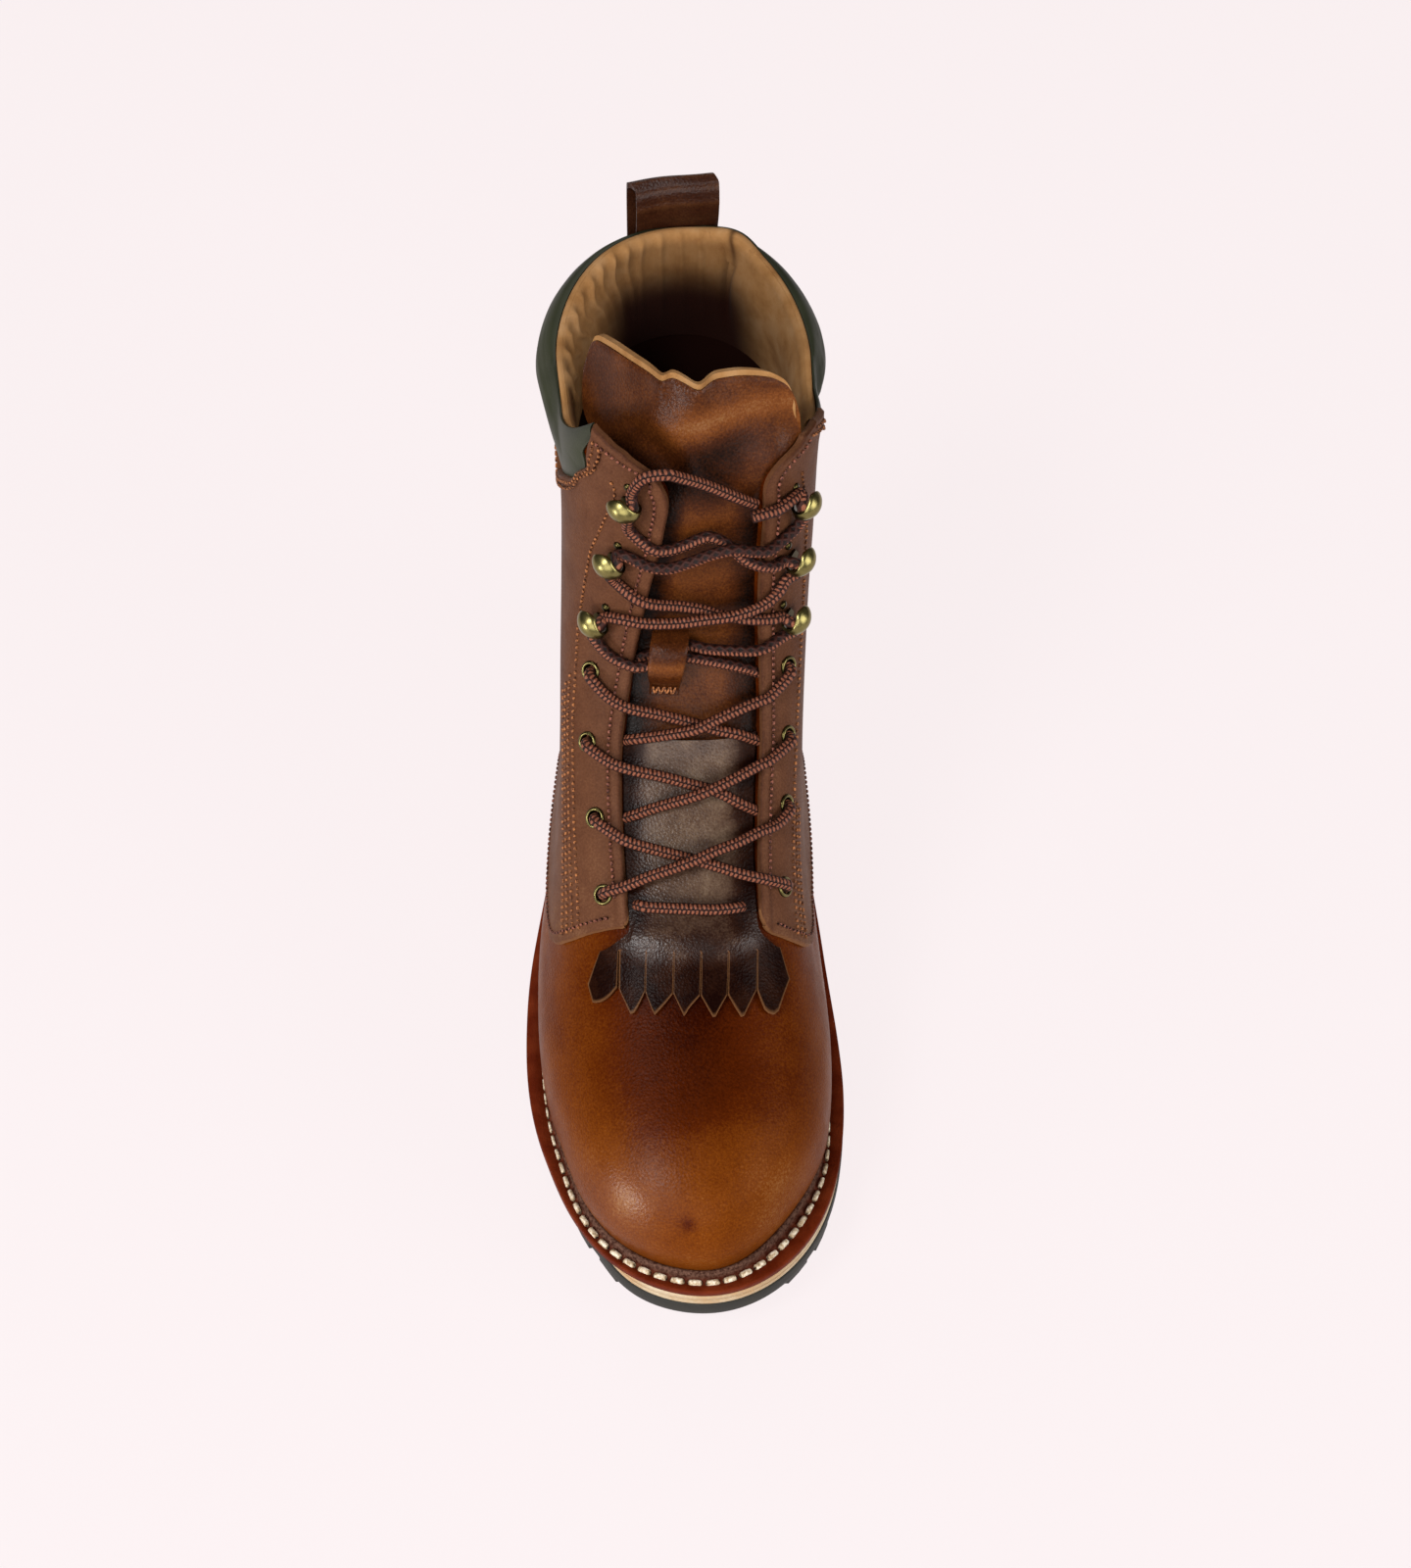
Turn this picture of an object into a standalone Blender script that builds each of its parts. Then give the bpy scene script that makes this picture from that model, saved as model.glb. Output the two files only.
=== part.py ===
"""Right lace-up work boot, eight-inch shaft, at real size.

Sole stack, hollow leather upper, quarters, padded collar, tongue, fringed kiltie, eyelets,
hooks and laces. +Z is up, the toe points to -Y and +X is the medial (inner) side.
Sizes are in millimetres and are turned into metres when a mesh is made. A place along the boot
is its distance from the back of the heel, and a place across it is measured from the axis.
"""
import math

import bmesh
import bpy
import numpy as np

MM = 0.001

# Driving dimensions
LENGTH = 305.0
BALL_HALF = 56.2
BALL_AT = 211.0
HEEL_HALF = 40.0
HEEL_AT = 48.0
HEEL_LIFT = 14.5
TOE_SPRING = 12.0
INFLARE = 10.5
INFLARE_FROM = 165.0
HEEL_AXIS = -2.58
GAP = 0.3
WELD = 0.00001
SHARP_ANGLE = 40.0

# Sole stack
LUG_DEPTH = 4.0
LUG_PROUD = -0.8
FLAT_BAND = 1.2
OUTSOLE_THICK = 6.5
MIDSOLE_THICK = 5.5
WELT_THICK = 3.4
INSOLE_THICK = 5.0
HEEL_BREAST = 88.0
MIDSOLE_INSET = 0.5
WELT_INSET = 0.9
WELT_LAP = 1.2
WELT_SEAT = 0.55
SOLE_STATIONS = 34
OUTSOLE_TOP = OUTSOLE_THICK
MIDSOLE_BOTTOM = OUTSOLE_TOP + GAP
MIDSOLE_TOP = MIDSOLE_BOTTOM + MIDSOLE_THICK
WELT_BOTTOM = MIDSOLE_TOP + WELT_SEAT
WELT_TOP = WELT_BOTTOM + WELT_THICK

# Tread blocks: start, end, inner share, outer share, lean of the block's outer end
FOREFOOT_LUGS = (
    (147, 160, 0.62, 1.0, -3.0),
    (166, 180, 0.58, 1.0, -3.0),
    (186, 200, 0.55, 1.0, -2.0),
    (206, 220, 0.55, 1.0, 0.0),
    (226, 240, 0.55, 1.0, 2.0),
    (246, 258, 0.50, 1.0, 3.0),
    (264, 275, 0.45, 1.0, 2.0),
    (281, 290, 0.30, 1.0, 0.0),
)
FOREFOOT_BARS = ((152, 166), (173, 187), (194, 208), (215, 229), (237, 250), (257, 268))
BAR_SHARE = 0.40
HEEL_LUGS = ((6, 20, 0.25, 1.0, 0.0), (27, 42, 0.52, 1.0, 0.0), (49, 64, 0.52, 1.0, 0.0),
             (71, 87, 0.45, 1.0, 0.0))
HEEL_BARS = ((26, 46), (54, 72))
HEEL_BAR_SHARE = 0.34
LUG_SINK = 1.0

# Leather
WALL = 2.2
QUARTER_THICK = 1.7
QUARTER_SEAT = 0.45
TONGUE_THICK = 3.0
KILTIE_THICK = 1.4
PAD_THICK = 7.0
PAD_BACK_SHARE = 0.62
PAD_SEAT = 0.5

# The upper, ring by ring from the feather line to above the collar.
# back, heel_at, fore_at and front are distances from the heel, the halves are widths to one
# side of the axis, square is the power of the front curve, the heights are at the back, the
# heel, the fore station and the front, turn twists the shaft in degrees, slot_out and slot_in
# are the lateral and medial distances of the throat's edges from the axis, and sway is how far
# the widest part of the shaft leans to the lateral side.
RING_COLUMNS = ("back", "heel_at", "heel_half", "fore_at", "fore_half", "front", "square",
                "back_z", "heel_z", "fore_z", "front_z", "turn", "slot_out", "slot_in", "sway")
RINGS = (
    ("feather", 5, 48, 35.5, 211, 48.5, 297, 2, 35, 35, 20.5, 32.5, 0, 18, 24, 0),
    ("wall", 4.2, 48, 37.8, 209, 51, 298, 2.1, 47, 45.5, 32, 43, 0, 18, 24, 0),
    ("toe_side", 3.8, 48, 38.8, 206, 51, 294.5, 2.1, 59, 56, 43, 53, 0, 18, 24, 0),
    ("toe_crown", 3.8, 48, 39, 202, 49, 286, 2.15, 71.5, 67.5, 53, 62, 0, 18, 24, 0),
    ("toe_top", 4.4, 49, 38.8, 193, 46, 271, 2.2, 85, 80, 63, 69.5, 0, 18, 24, 0),
    ("vamp", 5.4, 50, 38.5, 180, 43, 250, 2.25, 99, 92, 73, 77, 0, 18, 24.5, 0),
    ("fringe", 6.6, 51, 38.3, 162, 41, 227, 2.3, 113, 105, 84, 86.5, 0, 18, 25, 0),
    ("throat", 8, 53, 38.2, 143, 40, 206, 2.5, 127, 118, 97, 97.5, 0, 18, 25, 0),
    ("instep", 9.2, 55, 38.5, 122, 39.8, 181, 2.8, 143, 133, 112, 111.5, 0, 19, 25.5, 0),
    ("lacing", 10, 57, 39, 103, 40, 155, 3, 160, 150, 131, 129.5, 0.4, 20, 25.5, 0.2),
    ("ankle", 10.3, 58, 39.5, 90, 40, 135, 3, 178, 170, 154, 150.5, 1.4, 17.5, 23.5, 0.5),
    ("shin", 10.2, 59, 40, 84, 40, 127, 2.8, 196, 189, 179, 174, 3.2, 15.5, 20.5, 1.2),
    ("cuff", 9.8, 60, 40.5, 80, 40.3, 122.5, 2.6, 212, 205, 199, 201, 4.7, 12, 20, 2.2),
    ("corner", 9.5, 60, 41, 78, 40.6, 120, 2.55, 221, 213, 208, 220, 5.3, 12.5, 20.5, 2.5),
    ("collar", 9.2, 61, 41.5, 77, 41, 118, 2.5, 229, 220, 215, 236, 5.8, 30, 32, 2.6),
    ("above", 9.2, 61, 41.5, 76, 40.5, 113.5, 2.4, 243, 235, 231, 250, 5.8, 30, 32, 2.6),
)
RING_TABLE = np.array([row[1:] for row in RINGS])
RING_AT = {row[0]: float(index) for index, row in enumerate(RINGS)}
SLOT_U = 0.80
TURN_PIVOT = 0.3
RING_STEPS = 90
NORMAL_STEP = 0.004
RING_STEP = 0.03
PLACE_STEP = 0.02

# Columns of the upper's grid on one side, from the middle of the heel to the middle of the front
SIDE_COLUMNS = (0.0, 0.045, 0.09, 0.14, 0.195, 0.25, 0.305, 0.36, 0.415, 0.47, 0.525, 0.58,
                0.635, 0.68, 0.72, 0.76, 0.80, 0.85, 0.90, 0.95, 1.0)
UPPER_ROWS = (0, 0.5, 1, 2, 3, 4, 4.5, 5, 5.5, 6, 6.5, 7, 8, 9, 10, 11, 11.5, 12, 13, 14)

# Quarter panels, collar and tongue, as limits on the upper's grid
QUARTER_EDGE = ((204.0, 104.0), (199.5, 93.0), (192.0, 75.0), (186.0, 69.5), (176.0, 67.0),
                (112.0, 62.5), (98.0, 55.0), (88.0, 42.0), (84.0, 15.0))
CUTTER_MARGIN = 30.0
CUTTER_TOP = 280.0
CUTTER_REACH = 90.0
BACK_SEAM = 0.004
COLLAR_FROM = 11.5
COLLAR_FRONT = 0.635
COLLAR_END_GAP = 0.006
# Rows of the padded collar: ring, share of the pad's full thickness, place where it starts to thin
COLLAR_ROWS = ((11.52, 0.20, 0.34), (12.0, 0.60, 0.38), (13.0, 1.0, 0.44), (14.0, 0.45, 0.50))
COLLAR_FADE = 0.62
PAD_EDGE = 1.4
PAD_FULL_FROM = 0.28
TONGUE_FROM = 6.5
TONGUE_SIDE = 0.68
TONGUE_EXTRA_ROWS = (9.5, 10.5, 14.5, 14.9)

# Kiltie: its rows from the top edge down to the points of the fringe. Each row has its ring in
# the middle, how far it falls at the lateral and at the medial edge, and its reach around the front
STRIPS = 7
STRIP_SLIT = 0.05
KILTIE_COLUMNS = ("ring", "fall_out", "fall_in", "reach", "lift")
KILTIE_ROWS = (
    ("top", 9.12, 0.0, 0.0, 0.185, -1.9),
    ("upper", 8.5, 0.0, 0.0, 0.185, -1.9),
    ("middle", 8.0, 0.0, 0.0, 0.185, -1.7),
    ("lower", 7.5, 0.0, 0.0, 0.185, -0.6),
    ("neck", 7.05, 0.0, 0.2, 0.185, 1.2),
    ("root", 6.72, 0.32, 0.68, 0.265, 1.2),
    ("strip", 6.45, 0.32, 0.68, 0.265, 1.0),
    ("notch", 6.20, 0.25, 0.60, 0.255, 0.8),
)
KILTIE_POINT = 0.36

# Lacing: each pair from the lowest eyelets up, with its ring and its distance behind the
# throat's edge, on the lateral and on the medial side
LACE_RADIUS = 2.1
LACE_HEIGHT = 5.15
LACE_SAG = 1.7
LACE_PLACES = (0.8, 0.84, 0.92, 1.0)
LACE_SIDES = 6
LACE_SAMPLES = 9
LACE_PAIRS = (
    # kind, lateral ring and distance, medial ring and distance
    ("eyelet", 7.18, 9.4, 6.94, 14.0),
    ("eyelet", 8.07, 10.4, 7.97, 14.8),
    ("eyelet", 8.84, 13.0, 8.79, 13.0),
    ("eyelet", 9.68, 14.0, 9.65, 11.5),
    ("hook", 10.50, 16.5, 10.42, 13.5),
    ("hook", 11.52, 14.5, 11.30, 14.0),
    ("hook", 12.70, 13.0, 12.25, 15.0),
)
# Crossings of the lace over the tongue: their lower and upper ring at the throat's edges
LACE_CROSSINGS = ((7.38, 8.10), (8.25, 8.90), (9.08, 9.78), (9.95, 10.30), (10.72, 11.12), (11.45, 11.85))
BAR_RING = 7.13
BAR_HEIGHT = 5.0
# Free lace ends: place around the upper, ring, height over its surface
LACE_ENDS = (
    ("lace_end_lateral", ((-0.735, 13.10, 4.9), (-0.77, 13.25, 5.0), (-0.83, 13.30, 3.4),
                          (-0.92, 13.25, 1.0), (1.0, 13.05, 0.2), (0.93, 12.75, 0.2), (0.86, 12.42, 0.2))),
    ("lace_end_medial", ((0.768, 12.38, 4.9), (0.79, 12.18, 4.9), (0.825, 12.05, 3.6), (0.865, 11.95, 0.4))),
)
END_SAMPLES = 10
# Lace keeper on the tongue: ring, height over the upper's surface
KEEPER_ROWS = ((9.62, -1.6), (9.72, -1.6), (9.80, 4.2), (9.93, 7.1), (10.31, 7.1), (10.44, 4.2),
               (10.54, -1.6), (10.64, -1.6))
KEEPER_PLACES = (-0.845, -0.89, -0.935, -0.98)
KEEPER_THICK = 1.2
EYELET_OUTER = 5.0
EYELET_INNER = 2.7
EYELET_THICK = 1.2
EYELET_SEAT = 0.9
EYELET_SIDES = 10
EYELET_BEVEL = 0.6
EYELET_LIP = 0.4
HOOK_WIDTH = 7.5
HOOK_THICK = 1.0
# C-shaped strip of a hook: distance away from the throat, height over the leather
HOOK_PATH = ((4.2, 1.4), (-3.0, 1.4), (-4.9, 2.6), (-5.1, 4.4), (-3.4, 6.0), (0.4, 6.6), (3.8, 5.7))

# Pull loop: distance from the heel, height
LOOP_WIDTH = 30.0
LOOP_THICK = 1.8
LOOP_AT = -6.6
LOOP_TURN = 5.0
LOOP_PATH = ((3.3, 203.0), (3.3, 230.0), (3.5, 240.0), (5.9, 248.0), (9.6, 246.2), (11.0, 238.5),
             (11.0, 231.0))

MATERIALS = {
    # name: colour, roughness, metallic
    "rubber": ((0.045, 0.050, 0.035), 0.75, 0.0),
    "midsole": ((0.70, 0.48, 0.26), 0.65, 0.0),
    "welt_leather": ((0.14, 0.03, 0.008), 0.55, 0.0),
    "brown_leather": ((0.17, 0.055, 0.015), 0.42, 0.0),
    "dark_leather": ((0.06, 0.022, 0.009), 0.40, 0.0),
    "collar_pad": ((0.065, 0.070, 0.045), 0.60, 0.0),
    "insole_board": ((0.40, 0.20, 0.07), 0.80, 0.0),
    "brass": ((0.42, 0.30, 0.10), 0.35, 1.0),
    "lace": ((0.11, 0.035, 0.02), 0.80, 0.0),
}


# Scene, materials and mesh helpers

def clear_scene():
    for thing in list(bpy.data.objects):
        bpy.data.objects.remove(thing, do_unlink=True)


def material(name):
    found = bpy.data.materials.get(name)
    if found:
        return found
    colour, roughness, metallic = MATERIALS[name]
    made = bpy.data.materials.new(name)
    made.use_nodes = True
    shader = made.node_tree.nodes["Principled BSDF"]
    shader.inputs["Base Color"].default_value = (*colour, 1.0)
    shader.inputs["Roughness"].default_value = roughness
    shader.inputs["Metallic"].default_value = metallic
    return made


def add_mesh(name, points, faces, finish, smooth=True):
    """Add one object from points in millimetres (across, from heel, up)."""
    mesh = bpy.data.meshes.new(name)
    placed = [(x * MM, (LENGTH / 2 - s) * MM, z * MM) for x, s, z in points]
    mesh.from_pydata(placed, [], faces)
    solid = bmesh.new()
    solid.from_mesh(mesh)
    bmesh.ops.recalc_face_normals(solid, faces=solid.faces)
    if solid.calc_volume(signed=True) < 0:
        bmesh.ops.reverse_faces(solid, faces=solid.faces)
    solid.to_mesh(mesh)
    solid.free()
    mesh.materials.append(material(finish))
    if smooth:
        mesh.shade_smooth()
        mesh.set_sharp_from_angle(angle=math.radians(SHARP_ANGLE))
    thing = bpy.data.objects.new(name, mesh)
    bpy.context.scene.collection.objects.link(thing)
    return thing


def boolean(thing, tool, operation):
    """Join a tool to a piece, or cut a piece by it; the tool stays as a hidden guide."""
    tool.hide_render = True
    tool.display_type = "WIRE"
    change = thing.modifiers.new(operation.lower(), "BOOLEAN")
    change.operation = operation
    change.solver = "EXACT"
    change.object = tool


def smoothstep(low, high, value):
    share = np.clip((value - low) / (high - low), 0.0, 1.0)
    return share * share * (3.0 - 2.0 * share)


def shell(name, outer, inner, cells, finish, wrap=False):
    """Closed solid between two grids of points, over the cells that a mask keeps."""
    rows, columns = cells.shape
    width = outer.shape[1]
    points = []
    index = {}

    def corner(layer, row, column):
        key = (layer, row, column % width if wrap else column)
        if key not in index:
            index[key] = len(points)
            grid = outer if layer == 0 else inner
            points.append(tuple(grid[key[1], key[2]]))
        return index[key]

    def kept(row, column):
        if wrap:
            column %= columns
        inside = 0 <= row < rows and 0 <= column < columns
        return bool(inside and cells[row, column])

    def wall(first, second):
        a, b = corner(0, *first), corner(0, *second)
        c, d = corner(1, *second), corner(1, *first)
        faces.append((a, b, c))
        faces.append((a, c, d))

    faces = []
    for row in range(rows):
        for column in range(columns):
            if not kept(row, column):
                continue
            square = ((row, column), (row, column + 1), (row + 1, column + 1), (row + 1, column))
            for layer in (0, 1):
                a, b, c, d = (corner(layer, *place) for place in square)
                sides = ((a, b, c), (a, c, d))
                faces.extend(sides if layer == 0 else [face[::-1] for face in sides])
            neighbours = ((row - 1, column), (row, column + 1), (row + 1, column), (row, column - 1))
            for side, neighbour in enumerate(neighbours):
                if not kept(*neighbour):
                    wall(square[(side + 1) % 4], square[side])
    return add_mesh(name, points, faces, finish)


def tube_mesh(path, radius, sides):
    """Points and faces of a round cord along a list of points, with flat ends."""
    path = np.array(path, dtype=float)
    ahead = np.gradient(path, axis=0)
    ahead /= np.linalg.norm(ahead, axis=1)[:, None]
    side = np.cross(ahead, (0.0, 0.0, 1.0))
    side /= np.linalg.norm(side, axis=1)[:, None]
    over = np.cross(side, ahead)
    angles = np.arange(sides) * 2.0 * math.pi / sides
    points = []
    for centre, across, up in zip(path, side, over):
        for angle in angles:
            points.append(tuple(centre + radius * (math.cos(angle) * across + math.sin(angle) * up)))
    faces = []
    for step in range(len(path) - 1):
        for place in range(sides):
            a = step * sides + place
            b = step * sides + (place + 1) % sides
            faces.append((a, b, b + sides, a + sides))
    last = (len(path) - 1) * sides
    faces.append(tuple(range(sides))[::-1])
    faces.append(tuple(range(last, last + sides)))
    return points, faces


def smooth_path(points, count):
    """Evenly spaced points on a smooth curve through a short list of points."""
    points = np.array(points, dtype=float)
    places = np.linspace(0.0, len(points) - 1.0, count)
    return np.array([through(points, place) for place in places])


def through(rows, place):
    """Smooth value between the rows of a table, at a row number that need not be whole."""
    last = len(rows) - 1
    low = int(min(max(math.floor(place), 0), last - 1))
    share = place - low
    before, start = rows[max(low - 1, 0)], rows[low]
    end, after = rows[low + 1], rows[min(low + 2, last)]
    lead_in = (end - before) / 2.0
    lead_out = (after - start) / 2.0
    square, cube = share ** 2, share ** 3
    return ((2 * cube - 3 * square + 1) * start + (cube - 2 * square + share) * lead_in
            + (3 * square - 2 * cube) * end + (cube - square) * lead_out)


# The last: axis of the foot, rings and the surface through them

def axis(s):
    return HEEL_AXIS + INFLARE * smoothstep(INFLARE_FROM, LENGTH, np.asarray(s, dtype=float))


def ring_values(v):
    return dict(zip(RING_COLUMNS, through(RING_TABLE, v)))


def ring_line(v, side):
    """Half a ring as (across, from heel, up) points, from the back to the front."""
    ring = ring_values(v)
    back, heel_at, fore_at, front = (ring[name] for name in ("back", "heel_at", "fore_at", "front"))
    turn_in = np.linspace(0.0, math.pi / 2, RING_STEPS)
    power = 2.0 / ring["square"]
    heel_s = heel_at - (heel_at - back) * np.cos(turn_in)
    heel_half = ring["heel_half"] * np.sin(turn_in)
    waist_s = np.linspace(heel_at, fore_at, RING_STEPS)[1:-1]
    rise = smoothstep(heel_at, fore_at, waist_s)
    waist_half = ring["heel_half"] + (ring["fore_half"] - ring["heel_half"]) * rise
    fore_s = fore_at + (front - fore_at) * np.sin(turn_in) ** power
    fore_half = ring["fore_half"] * np.cos(turn_in).clip(0.0) ** power
    heel_z = ring["back_z"] + (ring["heel_z"] - ring["back_z"]) * smoothstep(back, heel_at, heel_s)
    waist_z = ring["heel_z"] + (ring["fore_z"] - ring["heel_z"]) * rise
    ahead = (fore_s - fore_at) / (front - fore_at)
    fore_z = ring["fore_z"] + (ring["front_z"] - ring["fore_z"]) * ahead ** 2
    s = np.concatenate((heel_s, waist_s, fore_s))
    half = np.concatenate((heel_half, waist_half, fore_half))
    z = np.concatenate((heel_z, waist_z, fore_z))
    x = axis(s) + side * half - ring["sway"] * half / half.max()
    pivot_s = back + TURN_PIVOT * (front - back)
    pivot_x = float(axis(pivot_s))
    turn = math.radians(ring["turn"])
    across, along = x - pivot_x, s - pivot_s
    x = pivot_x + across * math.cos(turn) + along * math.sin(turn)
    s = pivot_s - across * math.sin(turn) + along * math.cos(turn)
    line = np.stack((x, s, z), axis=1)
    slot = ring["slot_out"] if side < 0 else ring["slot_in"]
    run = np.concatenate(((0.0,), np.cumsum(np.linalg.norm(np.diff(line, axis=0), axis=1))))
    front_half = half[-RING_STEPS:][::-1]
    slot_run = float(np.interp(slot, front_half, run[-RING_STEPS:][::-1]))
    return line, run, slot_run


def ring_points(v, places):
    """Points of the upper's outer surface on one ring, at places from -1 to 1 around it."""
    places = (np.asarray(places, dtype=float) + 1.0) % 2.0 - 1.0
    found = np.zeros((len(places), 3))
    for side in (-1, 1):
        chosen = places < 0 if side < 0 else places >= 0
        if not chosen.any():
            continue
        line, run, slot_run = ring_line(v, side)
        distance = np.abs(places[chosen])
        behind = distance / SLOT_U * slot_run
        ahead = slot_run + (distance - SLOT_U) / (1.0 - SLOT_U) * (run[-1] - slot_run)
        at = np.where(distance <= SLOT_U, behind, ahead)
        found[chosen] = np.stack([np.interp(at, run, line[:, i]) for i in range(3)], axis=1)
    return found


def ring_normals(v, places):
    places = np.asarray(places, dtype=float)
    top = RING_TABLE.shape[0] - 1.0
    around = ring_points(v, places + NORMAL_STEP) - ring_points(v, places - NORMAL_STEP)
    upward = ring_points(min(v + RING_STEP, top), places) - ring_points(max(v - RING_STEP, 0.0), places)
    normal = np.cross(around, upward)
    normal /= np.linalg.norm(normal, axis=1)[:, None]
    return normal


def ring_offset(v, places, distance):
    """Points at a distance outside the upper's outer surface, or inside it where negative."""
    normal = ring_normals(v, places)
    return ring_points(v, places) + normal * np.broadcast_to(distance, (len(normal),))[:, None]


def grid_offset(rows, places, distance):
    return np.array([ring_offset(v, places, distance) for v in rows])


def surface_point(u, v, height):
    return ring_offset(v, [u], height)[0]


# Sole

def sole_half(s):
    """Half width of the sole's outline: a heel curve, a waist and a toe ellipse."""
    s = np.asarray(s, dtype=float)
    heel = HEEL_HALF * np.sqrt(np.clip(1 - ((HEEL_AT - s) / HEEL_AT) ** 2, 0, 1))
    waist = HEEL_HALF + (BALL_HALF - HEEL_HALF) * smoothstep(HEEL_AT, BALL_AT, s)
    toe = BALL_HALF * np.sqrt(np.clip(1 - ((s - BALL_AT) / (LENGTH - BALL_AT)) ** 2, 0, 1))
    return np.where(s < HEEL_AT, heel, np.where(s < BALL_AT, waist, toe))


def sole_base(s):
    """Height of the outsole's underside between its lugs: heel lift, arch and toe spring."""
    s = np.asarray(s, dtype=float)
    lift = HEEL_LIFT * (1.0 - smoothstep(HEEL_AT, BALL_AT, s))
    spring = TOE_SPRING * (np.clip(s - BALL_AT, 0.0, None) / (LENGTH - BALL_AT)) ** 2
    return LUG_DEPTH + lift + spring


def sole_level(layer):
    """Height function of one level of the stack, straight between the sole's stations."""
    along = stations(0.0, LENGTH)
    return lambda s: np.interp(s, along, sole_base(along)) + layer


def stations(start, end):
    """Distances along the sole, closer together towards both round ends."""
    turn = np.linspace(0.0, math.pi, SOLE_STATIONS)
    return start + (end - start) * (1.0 - np.cos(turn)) / 2.0


def outline(inset):
    """Lateral and medial edges of the sole's outline, moved in by a distance."""
    whole = stations(0.0, LENGTH)
    middle = LENGTH / 2.0
    along = middle + (whole - middle) * (middle - inset) / middle
    half = sole_half(whole)
    half = half * (BALL_HALF - inset) / BALL_HALF
    return along, axis(whole) - half, axis(whole) + half


def slab_faces(count):
    """Faces of a slab whose stations each have four points: low and high, on two sides."""
    faces = [(0, 1, 3, 2)]
    for step in range(count - 1):
        a, b = step * 4, step * 4 + 4
        faces.append((a, a + 2, b + 2, b))
        faces.append((a + 1, b + 1, b + 3, a + 3))
        faces.append((a, b, b + 1, a + 1))
        faces.append((a + 2, a + 3, b + 3, b + 2))
    end = (count - 1) * 4
    faces.append((end, end + 2, end + 3, end + 1))
    return faces


def slab(name, edges, bottom, top, finish):
    """Solid between two heights inside lateral and medial edges."""
    along, lateral, medial = edges
    points = []
    for s, low, high in zip(along, lateral, medial):
        for x in (low, high):
            points.append((x, s, float(bottom(s))))
            points.append((x, s, float(top(s))))
    return add_mesh(name, points, slab_faces(len(along)), finish)


def lug(start, end, inner, outer, side, level, top, lean):
    """Points and faces of one tread block, from an inner to an outer share of the half width."""
    points = []
    for share_along in (0.0, 0.5, 1.0):
        s = start + (end - start) * share_along
        for share in (inner, outer):
            reach = sole_half(s) * share + (LUG_PROUD if share == 1.0 else 0.0)
            x = float(axis(s)) + side * float(reach)
            shifted = s + lean * (share - inner)
            points.append((x, shifted, float(level(s))))
            points.append((x, shifted, float(top(s))))
    faces = [(0, 2, 3, 1), (8, 9, 11, 10)]
    for a in (0, 4):
        faces.append((a, a + 1, a + 5, a + 4))
        faces.append((a + 2, a + 6, a + 7, a + 3))
        faces.append((a, a + 4, a + 6, a + 2))
        faces.append((a + 1, a + 3, a + 7, a + 5))
    return points, faces


def lug_floor(s):
    """Underside of the lugs: one plane at the ball and the heel, rising at arch and toe."""
    level = float(sole_base(s)) - LUG_DEPTH
    return 0.0 if level < FLAT_BAND or s < HEEL_BREAST else level


def tread(name, edge_lugs, bars, bar_share, top, finish):
    """All the blocks of one tread as a tool that is joined to the slab above it."""
    points = []
    faces = []

    def add(block):
        first = len(points)
        points.extend(block[0])
        faces.extend(tuple(first + corner for corner in face) for face in block[1])

    for start, end, inner, outer, lean in edge_lugs:
        for side in (-1, 1):
            add(lug(start, end, inner, outer, side, lug_floor, top, lean))
    for start, end in bars:
        add(lug(start, end, -bar_share, bar_share, 1, lug_floor, top, 0.0))
    return add_mesh(name, points, faces, finish, smooth=False)


def make_sole():
    outsole = slab("outsole", outline(0.0), sole_level(0.0), sole_level(OUTSOLE_TOP), "rubber")
    lugs = tread("outsole_lugs", FOREFOOT_LUGS, FOREFOOT_BARS, BAR_SHARE, sole_level(LUG_SINK), "rubber")
    boolean(outsole, lugs, "UNION")

    along, lateral, medial = outline(0.0)
    kept = along < HEEL_BREAST
    along = np.append(along[kept], HEEL_BREAST)
    half = sole_half(along)
    edges = (along, axis(along) - half, axis(along) + half)
    heel = slab("heel", edges, lambda s: LUG_DEPTH, sole_level(-GAP), "rubber")
    blocks = tread("heel_lugs", HEEL_LUGS, HEEL_BARS, HEEL_BAR_SHARE,
                   lambda s: LUG_DEPTH + LUG_SINK, "rubber")
    boolean(heel, blocks, "UNION")

    slab("midsole", outline(MIDSOLE_INSET), sole_level(MIDSOLE_BOTTOM), sole_level(MIDSOLE_TOP), "midsole")


def feather_ring(distance):
    """The upper's lowest ring, moved out or in along the ground."""
    places = np.array(SIDE_COLUMNS)
    around = np.concatenate((-places[::-1][:-1], places[:-1]))
    points = ring_points(0.0, around)
    ahead = np.roll(points, -1, axis=0) - np.roll(points, 1, axis=0)
    out = np.stack((ahead[:, 1], -ahead[:, 0]), axis=1)
    out /= np.linalg.norm(out, axis=1)[:, None]
    moved = points.copy()
    moved[:, :2] += out * distance
    return moved


def around_middle(points):
    """Angle of each point about the middle of the sole, seen from above."""
    return np.arctan2(points[:, 0] - float(axis(LENGTH / 2)), points[:, 1] - LENGTH / 2)


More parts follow.
